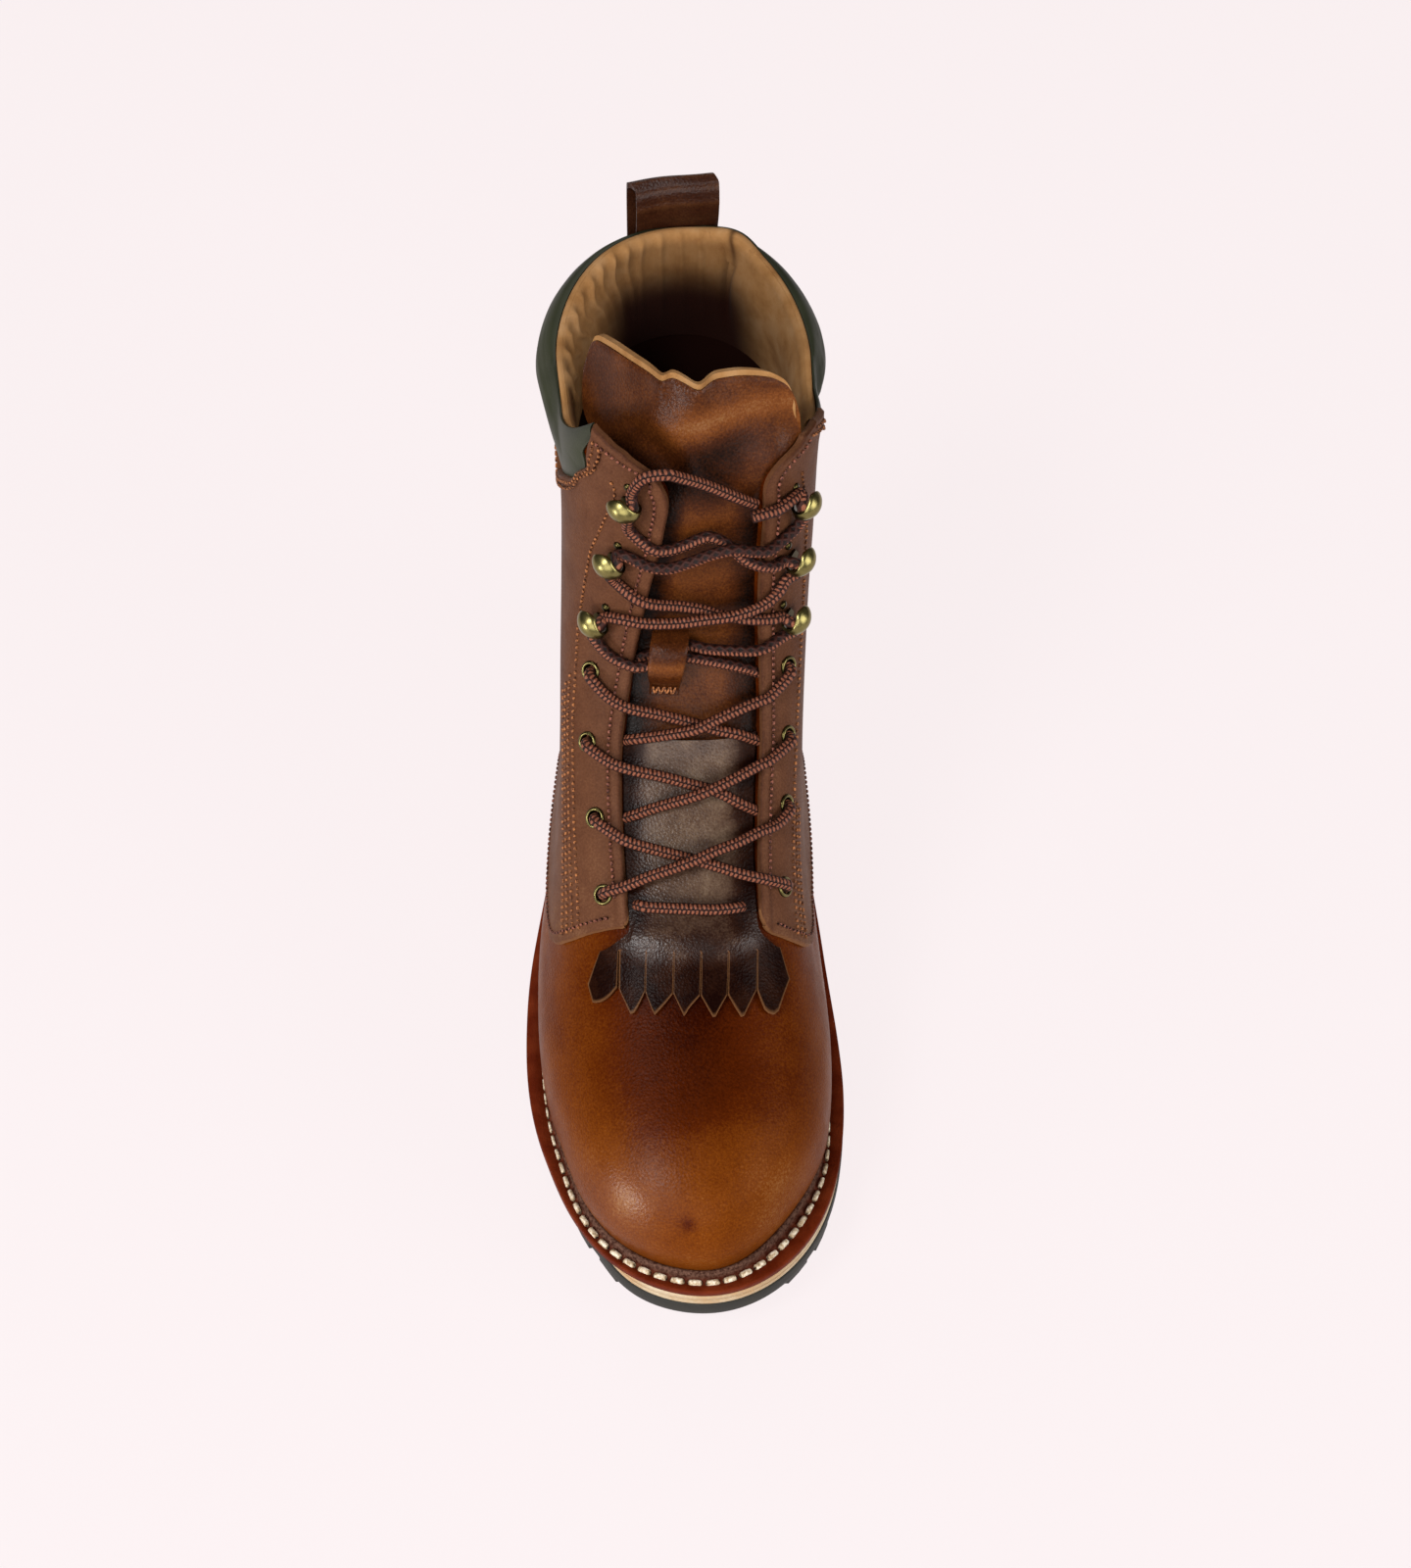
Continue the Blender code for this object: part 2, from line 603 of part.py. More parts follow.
def make_welt_and_insole():
    along, lateral, medial = outline(WELT_INSET)
    edge = np.concatenate((np.stack((lateral, along), axis=1), np.stack((medial, along), axis=1)))
    edge = edge[np.argsort(around_middle(edge))]
    inner = feather_ring(-WALL - WELT_LAP)[:, :2]
    outer = [np.interp(around_middle(inner), around_middle(edge), edge[:, i], period=2 * math.pi)
             for i in (0, 1)]
    loops = (np.stack(outer, axis=1), inner)
    faces_at = []
    for level in (sole_level(WELT_TOP), sole_level(WELT_BOTTOM)):
        faces_at.append(np.array([[(x, s, float(level(s))) for x, s in loop] for loop in loops]))
    cells = np.ones((1, len(inner)), dtype=bool)
    shell("welt", faces_at[0], faces_at[1], cells, "welt_leather", wrap=True)

    floor = feather_ring(-WALL - WELT_LAP - 2 * GAP)
    heel_index = len(SIDE_COLUMNS) - 1
    lateral_side = floor[heel_index::-1]
    medial_side = np.concatenate((floor[heel_index:], floor[:1]))
    seat = sole_level(WELT_BOTTOM)
    edges = []
    for left, right in zip(lateral_side, medial_side):
        edges.append((left, right))
    points = []
    for pair in edges:
        for x, s, z in pair:
            points.append((x, s, float(seat(s))))
            points.append((x, s, float(seat(s)) + INSOLE_THICK))
    insole = add_mesh("insole", points, slab_faces(len(edges)), "insole_board")
    weld(insole)


def weld(thing):
    """Close the ends of a slab where its two edges meet in one point."""
    solid = bmesh.new()
    solid.from_mesh(thing.data)
    bmesh.ops.remove_doubles(solid, verts=solid.verts, dist=WELD)
    bmesh.ops.dissolve_degenerate(solid, dist=WELD, edges=solid.edges)
    bmesh.ops.recalc_face_normals(solid, faces=solid.faces)
    solid.to_mesh(thing.data)
    solid.free()


# Upper and what is sewn to it

def ring_columns():
    """Places around the whole upper, from the front over the lateral side to the front."""
    places = np.array(SIDE_COLUMNS)
    return np.concatenate((-places[::-1], places[1:-1]))


def make_upper():
    places = ring_columns()
    rows = np.array(UPPER_ROWS, dtype=float)
    outer = grid_offset(rows, places, 0.0)
    inner = grid_offset(rows, places, -WALL)
    outer[0, :, 2] = [sole_level(WELT_TOP + GAP)(s) for s in outer[0, :, 1]]
    inner[0, :, 2] = [sole_level(WELT_TOP + GAP)(s) for s in inner[0, :, 1]]
    middles = np.abs(places + np.diff(np.append(places, 1.0)) / 2.0)
    cells = np.ones((len(rows) - 1, len(places)), dtype=bool)
    for row, v in enumerate(rows[:-1]):
        if v >= RING_AT["throat"]:
            cells[row] = middles < SLOT_U
    shell("upper", outer, inner, cells, "brown_leather", wrap=True)


def side_prism(name, side):
    """Cutter of a quarter: its lower edge in side view, drawn out to one side."""
    lower = list(QUARTER_EDGE)
    behind = [(-CUTTER_MARGIN, lower[-1][1]), (-CUTTER_MARGIN, CUTTER_TOP)]
    profile = lower + behind + [(lower[0][0], CUTTER_TOP)]
    reach = (0.0, CUTTER_REACH * side)
    count = len(profile)
    points = [(x, s, z) for x in reach for s, z in profile]
    faces = [tuple(range(count)), tuple(range(2 * count - 1, count - 1, -1))]
    for place in range(count):
        after = (place + 1) % count
        faces.append((place, after, after + count, place + count))
    return add_mesh(name, points, faces, "brown_leather", smooth=False)


def make_quarters():
    rows = np.array([v for v in UPPER_ROWS if v <= RING_AT["collar"]], dtype=float)
    for name, side in (("quarter_lateral", -1), ("quarter_medial", 1)):
        places = np.sort([side * max(u, BACK_SEAM) for u in SIDE_COLUMNS if u <= SLOT_U])
        outer = grid_offset(rows, places, QUARTER_SEAT + QUARTER_THICK)
        inner = grid_offset(rows, places, QUARTER_SEAT)
        under_collar = np.abs(places[:-1] + places[1:]) / 2.0 < COLLAR_FRONT
        cells = np.ones((len(rows) - 1, len(places) - 1), dtype=bool)
        cells[0] = False
        cells[rows[:-1] >= COLLAR_FROM] = ~under_collar
        panel = shell(name, outer, inner, cells, "brown_leather")
        boolean(panel, side_prism(name + "_cutter", side), "INTERSECT")


def make_collar():
    around = [u for u in SIDE_COLUMNS if u <= COLLAR_FRONT]
    around[-1] -= COLLAR_END_GAP
    places = np.array([-u for u in around[::-1]] + around[1:])
    rows = [row[0] for row in COLLAR_ROWS]
    fullness = PAD_BACK_SHARE + (1.0 - PAD_BACK_SHARE) * smoothstep(0.0, PAD_FULL_FROM, np.abs(places))
    outer = []
    for ring, share, thin_from in COLLAR_ROWS:
        fade = 1.0 - smoothstep(thin_from, COLLAR_FADE, np.abs(places))
        thick = np.maximum(PAD_THICK * share * fullness * fade, PAD_EDGE)
        outer.append(ring_offset(ring, places, PAD_SEAT + thick))
    outer = np.array(outer)
    inner = grid_offset(rows, places, PAD_SEAT)
    cells = np.ones((len(rows) - 1, len(places) - 1), dtype=bool)
    shell("collar", outer, inner, cells, "collar_pad")


def front_columns(from_place):
    """Places across the front, from the medial to the lateral edge of a sheet."""
    side = [u for u in SIDE_COLUMNS if u >= from_place]
    return np.array(side + [-u for u in side[::-1][1:]])


def make_tongue():
    places = front_columns(TONGUE_SIDE)
    rows = np.sort([v for v in UPPER_ROWS if v >= TONGUE_FROM] + list(TONGUE_EXTRA_ROWS))
    depth = WALL + GAP
    outer = grid_offset(rows, places, -depth)
    inner = grid_offset(rows, places, -depth - TONGUE_THICK)
    cells = np.ones((len(rows) - 1, len(places) - 1), dtype=bool)
    shell("tongue", outer, inner, cells, "brown_leather")


def make_kiltie():
    """Fringed flap over the throat: a neck between the flaps and strips fused below it."""
    strip_edges = np.linspace(-1.0, 1.0, STRIPS + 1)
    slit = STRIP_SLIT / 2.0
    shares = []
    for left, right in zip(strip_edges[:-1], strip_edges[1:]):
        shares.extend((left + slit, (left + right) / 2.0, right - slit))
    outer = []
    inner = []
    for name, *values in KILTIE_ROWS:
        row = dict(zip(KILTIE_COLUMNS, values))
        upper_line = []
        under_line = []
        for column, share in enumerate(shares):
            fall = row["fall_out"] if share < 0 else row["fall_in"]
            ring = row["ring"] - fall * share ** 2
            if name == "notch" and column % 3 == 1:
                ring -= KILTIE_POINT
            place = math.copysign(1.0 - abs(share) * row["reach"], share)
            upper_line.append(surface_point(place, ring, row["lift"] + KILTIE_THICK))
            under_line.append(surface_point(place, ring, row["lift"]))
        outer.append(upper_line)
        inner.append(under_line)
    names = [row[0] for row in KILTIE_ROWS]
    cells = np.ones((len(names) - 1, len(shares) - 1), dtype=bool)
    cells[names.index("root"):, 2::3] = False
    shell("kiltie", np.array(outer), np.array(inner), cells, "dark_leather")


# Pull loop, eyelets, hooks and laces

def strip_mesh(path, width, thick, frame):
    """Flat strip along a path of (along, up) points; frame turns (across, along, up) into place."""
    path = np.array(path, dtype=float)
    ahead = np.gradient(path, axis=0)
    ahead /= np.linalg.norm(ahead, axis=1)[:, None]
    out = np.stack((-ahead[:, 1], ahead[:, 0]), axis=1)
    points = []
    for place, side in zip(path, out):
        for across in (-width / 2.0, width / 2.0):
            for lift in (-thick / 2.0, thick / 2.0):
                along, up = place + side * lift
                points.append(frame(across, along, up))
    faces = [(0, 2, 3, 1)]
    for step in range(len(path) - 1):
        a, b = step * 4, step * 4 + 4
        faces.append((a, a + 1, b + 1, b))
        faces.append((a + 2, b + 2, b + 3, a + 3))
        faces.append((a, b, b + 2, a + 2))
        faces.append((a + 1, a + 3, b + 3, b + 1))
    end = (len(path) - 1) * 4
    faces.append((end, end + 1, end + 3, end + 2))
    return points, faces


def make_pull_loop():
    turn = math.radians(LOOP_TURN)

    def frame(across, along, up):
        return (LOOP_AT + across * math.cos(turn), along - across * math.sin(turn), up)

    points, faces = strip_mesh(LOOP_PATH, LOOP_WIDTH, LOOP_THICK, frame)
    add_mesh("pull_loop", points, faces, "dark_leather")


def pair_place(ring, distance, side):
    """Place around a ring at a distance behind the throat's edge."""
    line, run, slot_run = ring_line(ring, side)
    return side * (slot_run - distance) / slot_run * SLOT_U


def leather_frame(u, v, side):
    """Origin on the quarter and unit directions: away from the throat, upward, and out."""
    origin = surface_point(u, v, QUARTER_SEAT + QUARTER_THICK)
    out = ring_normals(v, [u])[0]
    behind = surface_point(u - side * PLACE_STEP, v, QUARTER_SEAT + QUARTER_THICK) - origin
    away = behind - out * behind.dot(out)
    away /= np.linalg.norm(away)
    return origin, away, np.cross(out, away), out


def make_eyelet(name, u, v, side):
    origin, away, up, out = leather_frame(u, v, side)
    top = EYELET_SEAT + EYELET_THICK
    profile = ((EYELET_OUTER, EYELET_SEAT), (EYELET_OUTER - EYELET_BEVEL, top),
               (EYELET_INNER + EYELET_LIP, top), (EYELET_INNER, EYELET_SEAT))
    points = []
    for step in range(EYELET_SIDES):
        angle = 2.0 * math.pi * step / EYELET_SIDES
        radial = away * math.cos(angle) + up * math.sin(angle)
        points.extend(tuple(origin + radial * radius + out * height) for radius, height in profile)
    count = len(profile)
    faces = []
    for step in range(EYELET_SIDES):
        a, b = step * count, (step + 1) % EYELET_SIDES * count
        for place in range(count):
            after = (place + 1) % count
            faces.append((a + place, a + after, b + after, b + place))
    add_mesh(name, points, faces, "brass")


def make_hook(name, u, v, side):
    origin, away, up, out = leather_frame(u, v, side)

    def frame(across, along, height):
        return tuple(origin + up * across + away * along + out * height)

    points, faces = strip_mesh(HOOK_PATH, HOOK_WIDTH, HOOK_THICK, frame)
    add_mesh(name, points, faces, "brass")


def make_fastenings():
    for number, (kind, ring_out, back_out, ring_in, back_in) in enumerate(LACE_PAIRS, start=1):
        sides = (("lateral", -1, ring_out, back_out), ("medial", 1, ring_in, back_in))
        for word, side, ring, distance in sides:
            place = pair_place(ring, distance, side)
            name = f"{kind}_{word}_{number}"
            if kind == "eyelet":
                make_eyelet(name, place, ring, side)
            else:
                make_hook(name, place, ring, side)


def lace_run(start_ring, end_ring, start_side, height, sag):
    """One bar of lace over the tongue, from one throat edge up to the other."""
    places = LACE_PLACES + LACE_PLACES[-2::-1]
    path = []
    for step, place in enumerate(places):
        share = step / (len(places) - 1.0)
        side = start_side if step <= len(places) // 2 else -start_side
        ring = start_ring + (end_ring - start_ring) * share
        path.append(surface_point(side * place, ring, height - sag * math.sin(math.pi * share) ** 2))
    return path


def make_laces():
    bar = lace_run(BAR_RING, BAR_RING, -1, BAR_HEIGHT, 0.0)
    points, faces = tube_mesh(smooth_path(bar, LACE_SAMPLES), LACE_RADIUS, LACE_SIDES)
    add_mesh("lace_bar", points, faces, "lace")
    for number, (low, high) in enumerate(LACE_CROSSINGS, start=1):
        crossing = []
        for side in (-1, 1):
            run = lace_run(low, high, side, LACE_HEIGHT, LACE_SAG)
            points, faces = tube_mesh(smooth_path(run, LACE_SAMPLES), LACE_RADIUS, LACE_SIDES)
            suffix = "" if side < 0 else "_over"
            crossing.append(add_mesh(f"lace_crossing_{number}{suffix}", points, faces, "lace"))
        boolean(crossing[0], crossing[1], "UNION")


def make_lace_ends():
    """The free ends, from the top hooks over the tongue to where they drop into the throat."""
    for name, route in LACE_ENDS:
        path = smooth_path([surface_point(*place) for place in route], END_SAMPLES)
        curve = bpy.data.curves.new(name, "CURVE")
        curve.dimensions = "3D"
        curve.bevel_depth = LACE_RADIUS * MM
        curve.bevel_resolution = 2
        curve.use_fill_caps = True
        line = curve.splines.new("POLY")
        line.points.add(len(path) - 1)
        for point, (x, s, z) in zip(line.points, path):
            point.co = (x * MM, (LENGTH / 2 - s) * MM, z * MM, 1.0)
        curve.materials.append(material("lace"))
        thing = bpy.data.objects.new(name, curve)
        bpy.context.scene.collection.objects.link(thing)


def make_lace_keeper():
    """Leather loop on the tongue, sewn down above and below the crossing that it holds."""
    places = np.array(KEEPER_PLACES)
    under = np.array([ring_offset(ring, places, lift) for ring, lift in KEEPER_ROWS])
    over = np.array([ring_offset(ring, places, lift + KEEPER_THICK) for ring, lift in KEEPER_ROWS])
    cells = np.ones((len(KEEPER_ROWS) - 1, len(places) - 1), dtype=bool)
    shell("lace_keeper", over, under, cells, "brown_leather")


def main():
    clear_scene()
    make_sole()
    make_welt_and_insole()
    make_upper()
    make_quarters()
    make_collar()
    make_tongue()
    make_kiltie()
    make_pull_loop()
    make_fastenings()
    make_laces()
    make_lace_ends()
    make_lace_keeper()


main()
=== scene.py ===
"""Looks of a right lace-up work boot: pull-up leather, padded collar, fringed kiltie and lug sole.

Shapes are worked out in millimetres, as (across, from heel, up), on the same last as the solids,
and are turned into metres when a mesh is made. +Z is up, the toe points to -Y, +X is medial.
"""
import math

import bmesh
import bpy
import numpy as np
from mathutils import Matrix, Vector


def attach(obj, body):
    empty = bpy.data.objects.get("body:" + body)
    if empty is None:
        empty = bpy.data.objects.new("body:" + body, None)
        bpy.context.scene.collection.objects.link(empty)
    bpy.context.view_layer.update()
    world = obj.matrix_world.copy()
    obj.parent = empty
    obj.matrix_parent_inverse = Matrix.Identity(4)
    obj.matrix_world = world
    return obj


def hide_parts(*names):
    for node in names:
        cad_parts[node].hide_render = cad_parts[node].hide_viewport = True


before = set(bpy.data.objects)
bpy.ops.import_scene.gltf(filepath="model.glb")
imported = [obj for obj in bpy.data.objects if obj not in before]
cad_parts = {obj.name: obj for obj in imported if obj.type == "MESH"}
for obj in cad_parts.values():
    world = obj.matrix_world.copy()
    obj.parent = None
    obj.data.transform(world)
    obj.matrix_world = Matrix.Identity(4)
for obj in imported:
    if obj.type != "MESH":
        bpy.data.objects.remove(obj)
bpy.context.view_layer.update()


# Outsole and heel. Black-green vulcanised rubber, moulded with a lugged tread and cemented under
# the midsole; the heel is its own block, nailed on, and the edges of both are ground flush.

MM = 0.001
LENGTH = 305.0
BALL_HALF = 56.2
BALL_AT = 211.0
HEEL_HALF = 40.0
HEEL_AT = 48.0
HEEL_LIFT = 14.5
TOE_SPRING = 12.0
INFLARE = 10.5
INFLARE_FROM = 165.0
HEEL_AXIS = -2.58
GAP = 0.3
LUG_DEPTH = 4.0
FLAT_BAND = 1.2
HEEL_BREAST = 88.0
OUTSOLE_THICK = 6.5
SOLE_STATIONS = 150
LUG_CHAMFER = 0.7
LUG_SINK = 1.0
LUG_INSET = -0.8
# Sole's edge ground in on the lateral side of the forefoot: how far, where it comes in and where it goes
LATERAL_TUCK = 4.2
TUCK_FROM = (120.0, 190.0)
TUCK_TO = (304.0, 280.0)
# Toe that sways to the lateral side and stands out there by a share of its half width: how far and where
TOE_SWAY = 1.2
SWAY_SPAN = (190.0, 250.0)
SOLE_SWELL = 0.07
SWELL_SPAN = (248.0, 300.0)
RUBBER_GREEN = "#141209"
RUBBER_DUST = "#282416"

# Tread blocks: start, end, inner and outer share of the half width, lean of the outer end
FOREFOOT_LUGS = (
    (147, 160, 0.62, 1.0, -3.0),
    (166, 180, 0.58, 1.0, -3.0),
    (186, 200, 0.55, 1.0, -2.0),
    (206, 220, 0.55, 1.0, 0.0),
    (226, 240, 0.55, 1.0, 2.0),
    (246, 258, 0.50, 1.0, 3.0),
    (264, 275, 0.45, 1.0, 2.0),
    (281, 290, 0.30, 1.0, 0.0),
)
FOREFOOT_BARS = ((152, 166), (173, 187), (194, 208), (215, 229), (237, 250), (257, 268))
BAR_SHARE = 0.40
HEEL_LUGS = ((6, 20, 0.25, 1.0, 0.0), (27, 42, 0.52, 1.0, 0.0), (49, 64, 0.52, 1.0, 0.0),
             (71, 87, 0.45, 1.0, 0.0))
HEEL_BARS = ((26, 46), (54, 72))
HEEL_BAR_SHARE = 0.34


def smoothstep(low, high, value):
    """A smooth step from 0 at one value to 1 at the other."""
    share = np.clip((np.asarray(value, dtype=float) - low) / (high - low), 0.0, 1.0)
    return share * share * (3.0 - 2.0 * share)


def axis(s):
    """Middle line of the sole, which curves to the medial side at the toe."""
    curve = INFLARE * smoothstep(INFLARE_FROM, LENGTH, s)
    return HEEL_AXIS + curve - TOE_SWAY * smoothstep(*SWAY_SPAN, s)


def toe_swell(s, amount):
    """Share of its half width by which the toe stands out on the lateral side."""
    return amount * smoothstep(*SWELL_SPAN, s)


def sole_half(s):
    """Half width of the sole's outline: a heel curve, a waist and a toe ellipse."""
    s = np.asarray(s, dtype=float)
    heel = HEEL_HALF * np.sqrt(np.clip(1 - ((HEEL_AT - s) / HEEL_AT) ** 2, 0, 1))
    waist = HEEL_HALF + (BALL_HALF - HEEL_HALF) * smoothstep(HEEL_AT, BALL_AT, s)
    toe = BALL_HALF * np.sqrt(np.clip(1 - ((s - BALL_AT) / (LENGTH - BALL_AT)) ** 2, 0, 1))
    return np.where(s < HEEL_AT, heel, np.where(s < BALL_AT, waist, toe))


def sole_base(s):
    """Height of the outsole's underside between its lugs: heel lift, arch and toe spring."""
    s = np.asarray(s, dtype=float)
    lift = HEEL_LIFT * (1.0 - smoothstep(HEEL_AT, BALL_AT, s))
    spring = TOE_SPRING * (np.clip(s - BALL_AT, 0.0, None) / (LENGTH - BALL_AT)) ** 2
    return LUG_DEPTH + lift + spring


def lateral_tuck(s):
    """How far the sole's edge is ground in under the welt on the lateral side of the forefoot."""
    return LATERAL_TUCK * smoothstep(*TUCK_FROM, s) * smoothstep(*TUCK_TO, s)


def sole_loop(inset):
    """Closed loop round the sole, up the lateral side and back down the medial one."""
    turn = np.linspace(0.0, math.pi, SOLE_STATIONS)
    middle = LENGTH / 2.0
    whole = middle * (1.0 - np.cos(turn))
    along = middle + (whole - middle) * (middle - inset) / middle
    half = sole_half(whole) * (BALL_HALF - inset) / BALL_HALF
    wide = half * (1.0 + toe_swell(whole, SOLE_SWELL))
    lateral = np.stack((axis(whole) - wide + lateral_tuck(whole), along), axis=1)
    medial = np.stack((axis(whole) + half, along), axis=1)
    return np.concatenate((lateral, medial[::-1][1:-1]))


def boot_mesh(name, material, points, faces, attributes=None, sharp=50.0):
    """Add one piece to the boot from points in millimetres, with named values at its points."""
    points = np.asarray(points, dtype=float)
    placed = np.stack((points[:, 0], LENGTH / 2.0 - points[:, 1], points[:, 2]), axis=1) * MM
    mesh = bpy.data.meshes.new(name)
    mesh.from_pydata(placed.tolist(), [], faces)
    for title, values in (attributes or {}).items():
        layer = mesh.attributes.new(title, "FLOAT", "POINT")
        layer.data.foreach_set("value", np.asarray(values, dtype=np.float32).ravel())
    solid = bmesh.new()
    solid.from_mesh(mesh)
    bmesh.ops.recalc_face_normals(solid, faces=solid.faces)
    if solid.calc_volume(signed=True) < 0:
        bmesh.ops.reverse_faces(solid, faces=solid.faces)
    solid.to_mesh(mesh)
    solid.free()
    mesh.materials.append(material)
    mesh.shade_smooth()
    mesh.set_sharp_from_angle(angle=math.radians(sharp))
    piece = bpy.data.objects.new(name, mesh)
    bpy.context.scene.collection.objects.link(piece)
    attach(piece, "root")
    return piece


def walls(count, levels):
    """Faces that join closed loops of so many points, each on to the next."""
    faces = []
    for first in range(0, count * levels, count):
        for place in range(count):
            a, b = first + place, first + (place + 1) % count
            faces.append((a, b, b + count, a + count))
    return faces


def loft(rings):
    """Points and faces of a slab through closed loops, from its underside to its top."""
    count = len(rings[0])
    faces = walls(count, len(rings) - 1)
    for first in (0, (len(rings) - 1) * count):
        for place in range(count // 2):
            a, b = place, place + 1
            c, d = (count - b) % count, (count - a) % count
            corners = list(dict.fromkeys((a, b, c, d)))
            if len(corners) > 2:
                faces.append(tuple(first + corner for corner in corners))
    return np.concatenate(rings), faces


def at_level(loop, height):
    """A loop of (across, from heel) points lifted to a height, which may follow the sole."""
    level = height(loop[:, 1]) if callable(height) else np.full(len(loop), height)
    return np.column_stack((loop, level))


def lug_floor(s):
    """Underside of the lugs: one plane at the ball and the heel, rising at arch and toe."""
    level = sole_base(s) - LUG_DEPTH
    return np.where((level < FLAT_BAND) | (np.asarray(s) < HEEL_BREAST), 0.0, level)


def unit(vectors):
    """Vectors brought to length one."""
    return vectors / np.linalg.norm(vectors, axis=-1)[..., None]


def lug(start, end, inner, outer, side, lean, top):
    """One tread block with a chamfer round its foot."""
    ring = []
    for share_along, share in ((0, inner), (0, outer), (0.5, outer), (1, outer), (1, inner), (0.5, inner)):
        s = start + (end - start) * share_along
        tuck = float(lateral_tuck(s) - sole_half(s) * toe_swell(s, SOLE_SWELL)) if side < 0 else 0.0
        reach = float(sole_half(s)) * share + (LUG_INSET - tuck if share == 1.0 else 0.0)
        ring.append((float(axis(s)) + side * reach, s + lean * (share - inner), s))
    ring = np.array(ring)
    middle = ring[:, :2].mean(axis=0)
    inward = unit(middle - ring[:, :2])
    levels = []
    for inset, height in ((0.0, top), (0.0, lambda s: lug_floor(s) + LUG_CHAMFER), (LUG_CHAMFER, lug_floor)):
        plan = ring[:, :2] + inward * inset
        levels.append(np.column_stack((plan, height(ring[:, 2]))))
    count = len(ring)
    ends = [tuple(range(count)), tuple(range(3 * count - 1, 2 * count - 1, -1))]
    return np.concatenate(levels), ends + walls(count, len(levels) - 1)


def join(parts):
    """Several (points, faces) in one."""
    points = []
    faces = []
    first = 0
    for part_points, part_faces in parts:
        points.append(part_points)
        faces.extend(tuple(first + corner for corner in face) for face in part_faces)
        first += len(part_points)
    return np.concatenate(points), faces


def tread(lugs, bars, bar_share, top):
    """All the blocks of a tread: pairs of lugs at its edges and bars along its middle."""
    blocks = []
    for start, end, inner, outer, lean in lugs:
        blocks.extend(lug(start, end, inner, outer, side, lean, top) for side in (-1, 1))
    blocks.extend(lug(start, end, -bar_share, bar_share, 1, 0.0, top) for start, end in bars)
    return blocks


def linear(hex_colour):
    """Scene-linear RGBA of an sRGB hex colour."""
    channels = [int(hex_colour[place:place + 2], 16) / 255.0 for place in (1, 3, 5)]
    curve = [c / 12.92 if c <= 0.04045 else ((c + 0.055) / 1.055) ** 2.4 for c in channels]
    return (*curve, 1.0)


def set_up(node, settings, links):
    """Give a node its settings, the stops of its ramp, and the nodes or sockets that feed it."""
    for title, value in settings.items():
        if title == "stops":
            stops = node.color_ramp.elements
            while len(stops) < len(value):
                stops.new(1.0)
            for stop, (position, colour) in zip(stops, value):
                stop.position = position
                stop.color = linear(colour)
        elif isinstance(title, int) or title in node.inputs:
            node.inputs[title].default_value = linear(value) if isinstance(value, str) else value
        else:
            setattr(node, title, value)
    for title, source in links.items():
        socket = source if isinstance(source, bpy.types.NodeSocket) else source.outputs[0]
        node.id_data.links.new(socket, node.inputs[title])
    return node


def add(tree, kind, settings=None, links=None):
    """One more shader node, with its settings and the nodes that feed it."""
    return set_up(tree.nodes.new("ShaderNode" + kind), settings or {}, links or {})


def new_material(name):
    """An empty node material: its tree, its shader, and the link that lays a pattern out over the boot."""
    material = bpy.data.materials.new(name)
    material.use_nodes = True
    tree = material.node_tree
    at = {"Vector": add(tree, "TexCoord").outputs["Object"]}
    return material, tree, tree.nodes["Principled BSDF"], at


def per_mm(size):
    """Texture scale for a pattern whose repeat is a size in millimetres."""
    return 1000.0 / size


def moulded_rubber():
    """Vulcanised rubber: dull and dark, with a fine sand-blasted mould skin and floor dust."""
    material, tree, shader, at = new_material("vulcanised_rubber")
    dust = add(tree, "TexNoise", {"Scale": per_mm(14.0), "Detail": 6.0}, at)
    colour = add(tree, "ValToRGB", {"stops": ((0.45, RUBBER_GREEN), (0.85, RUBBER_DUST))}, {"Fac": dust})
    grit = add(tree, "TexNoise", {"Scale": per_mm(0.9), "Detail": 3.0}, at)
    bump = add(tree, "Bump", {"Strength": 0.35, "Distance": 0.0003}, {"Height": grit})
    rough = add(tree, "MapRange", {"To Min": 0.62, "To Max": 0.85}, {"Value": dust})
    set_up(shader, {}, {"Base Color": colour, "Roughness": rough, "Normal": bump})
    return material


def over_base(rise):
    """A height that follows the outsole's underside, so far above it."""
    return lambda s: sole_base(s) + rise


# Edge of the outsole from its underside up: inset, rise over the underside
OUTSOLE_EDGE = ((6.0, 0.0), (0.7, 0.0), (0.15, 0.6), (0.0, 2.0), (0.0, 4.6), (0.25, 6.1), (0.8, 6.5),
                (6.0, 6.5))
# Edge of the heel: inset and rise at its foot, then inset and drop at its top
HEEL_FOOT = ((6.0, 0.0), (0.7, 0.0), (0.1, 0.7))
HEEL_TOP = ((0.0, 0.6), (0.4, 0.0), (6.0, 0.0))

rubber = moulded_rubber()
slab = loft([at_level(sole_loop(inset), over_base(rise)) for inset, rise in OUTSOLE_EDGE])
blocks = tread(FOREFOOT_LUGS, FOREFOOT_BARS, BAR_SHARE, over_base(LUG_SINK))
outsole = boot_mesh("outsole_rubber", rubber, *join([slab] + blocks), sharp=35.0)
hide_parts("outsole")


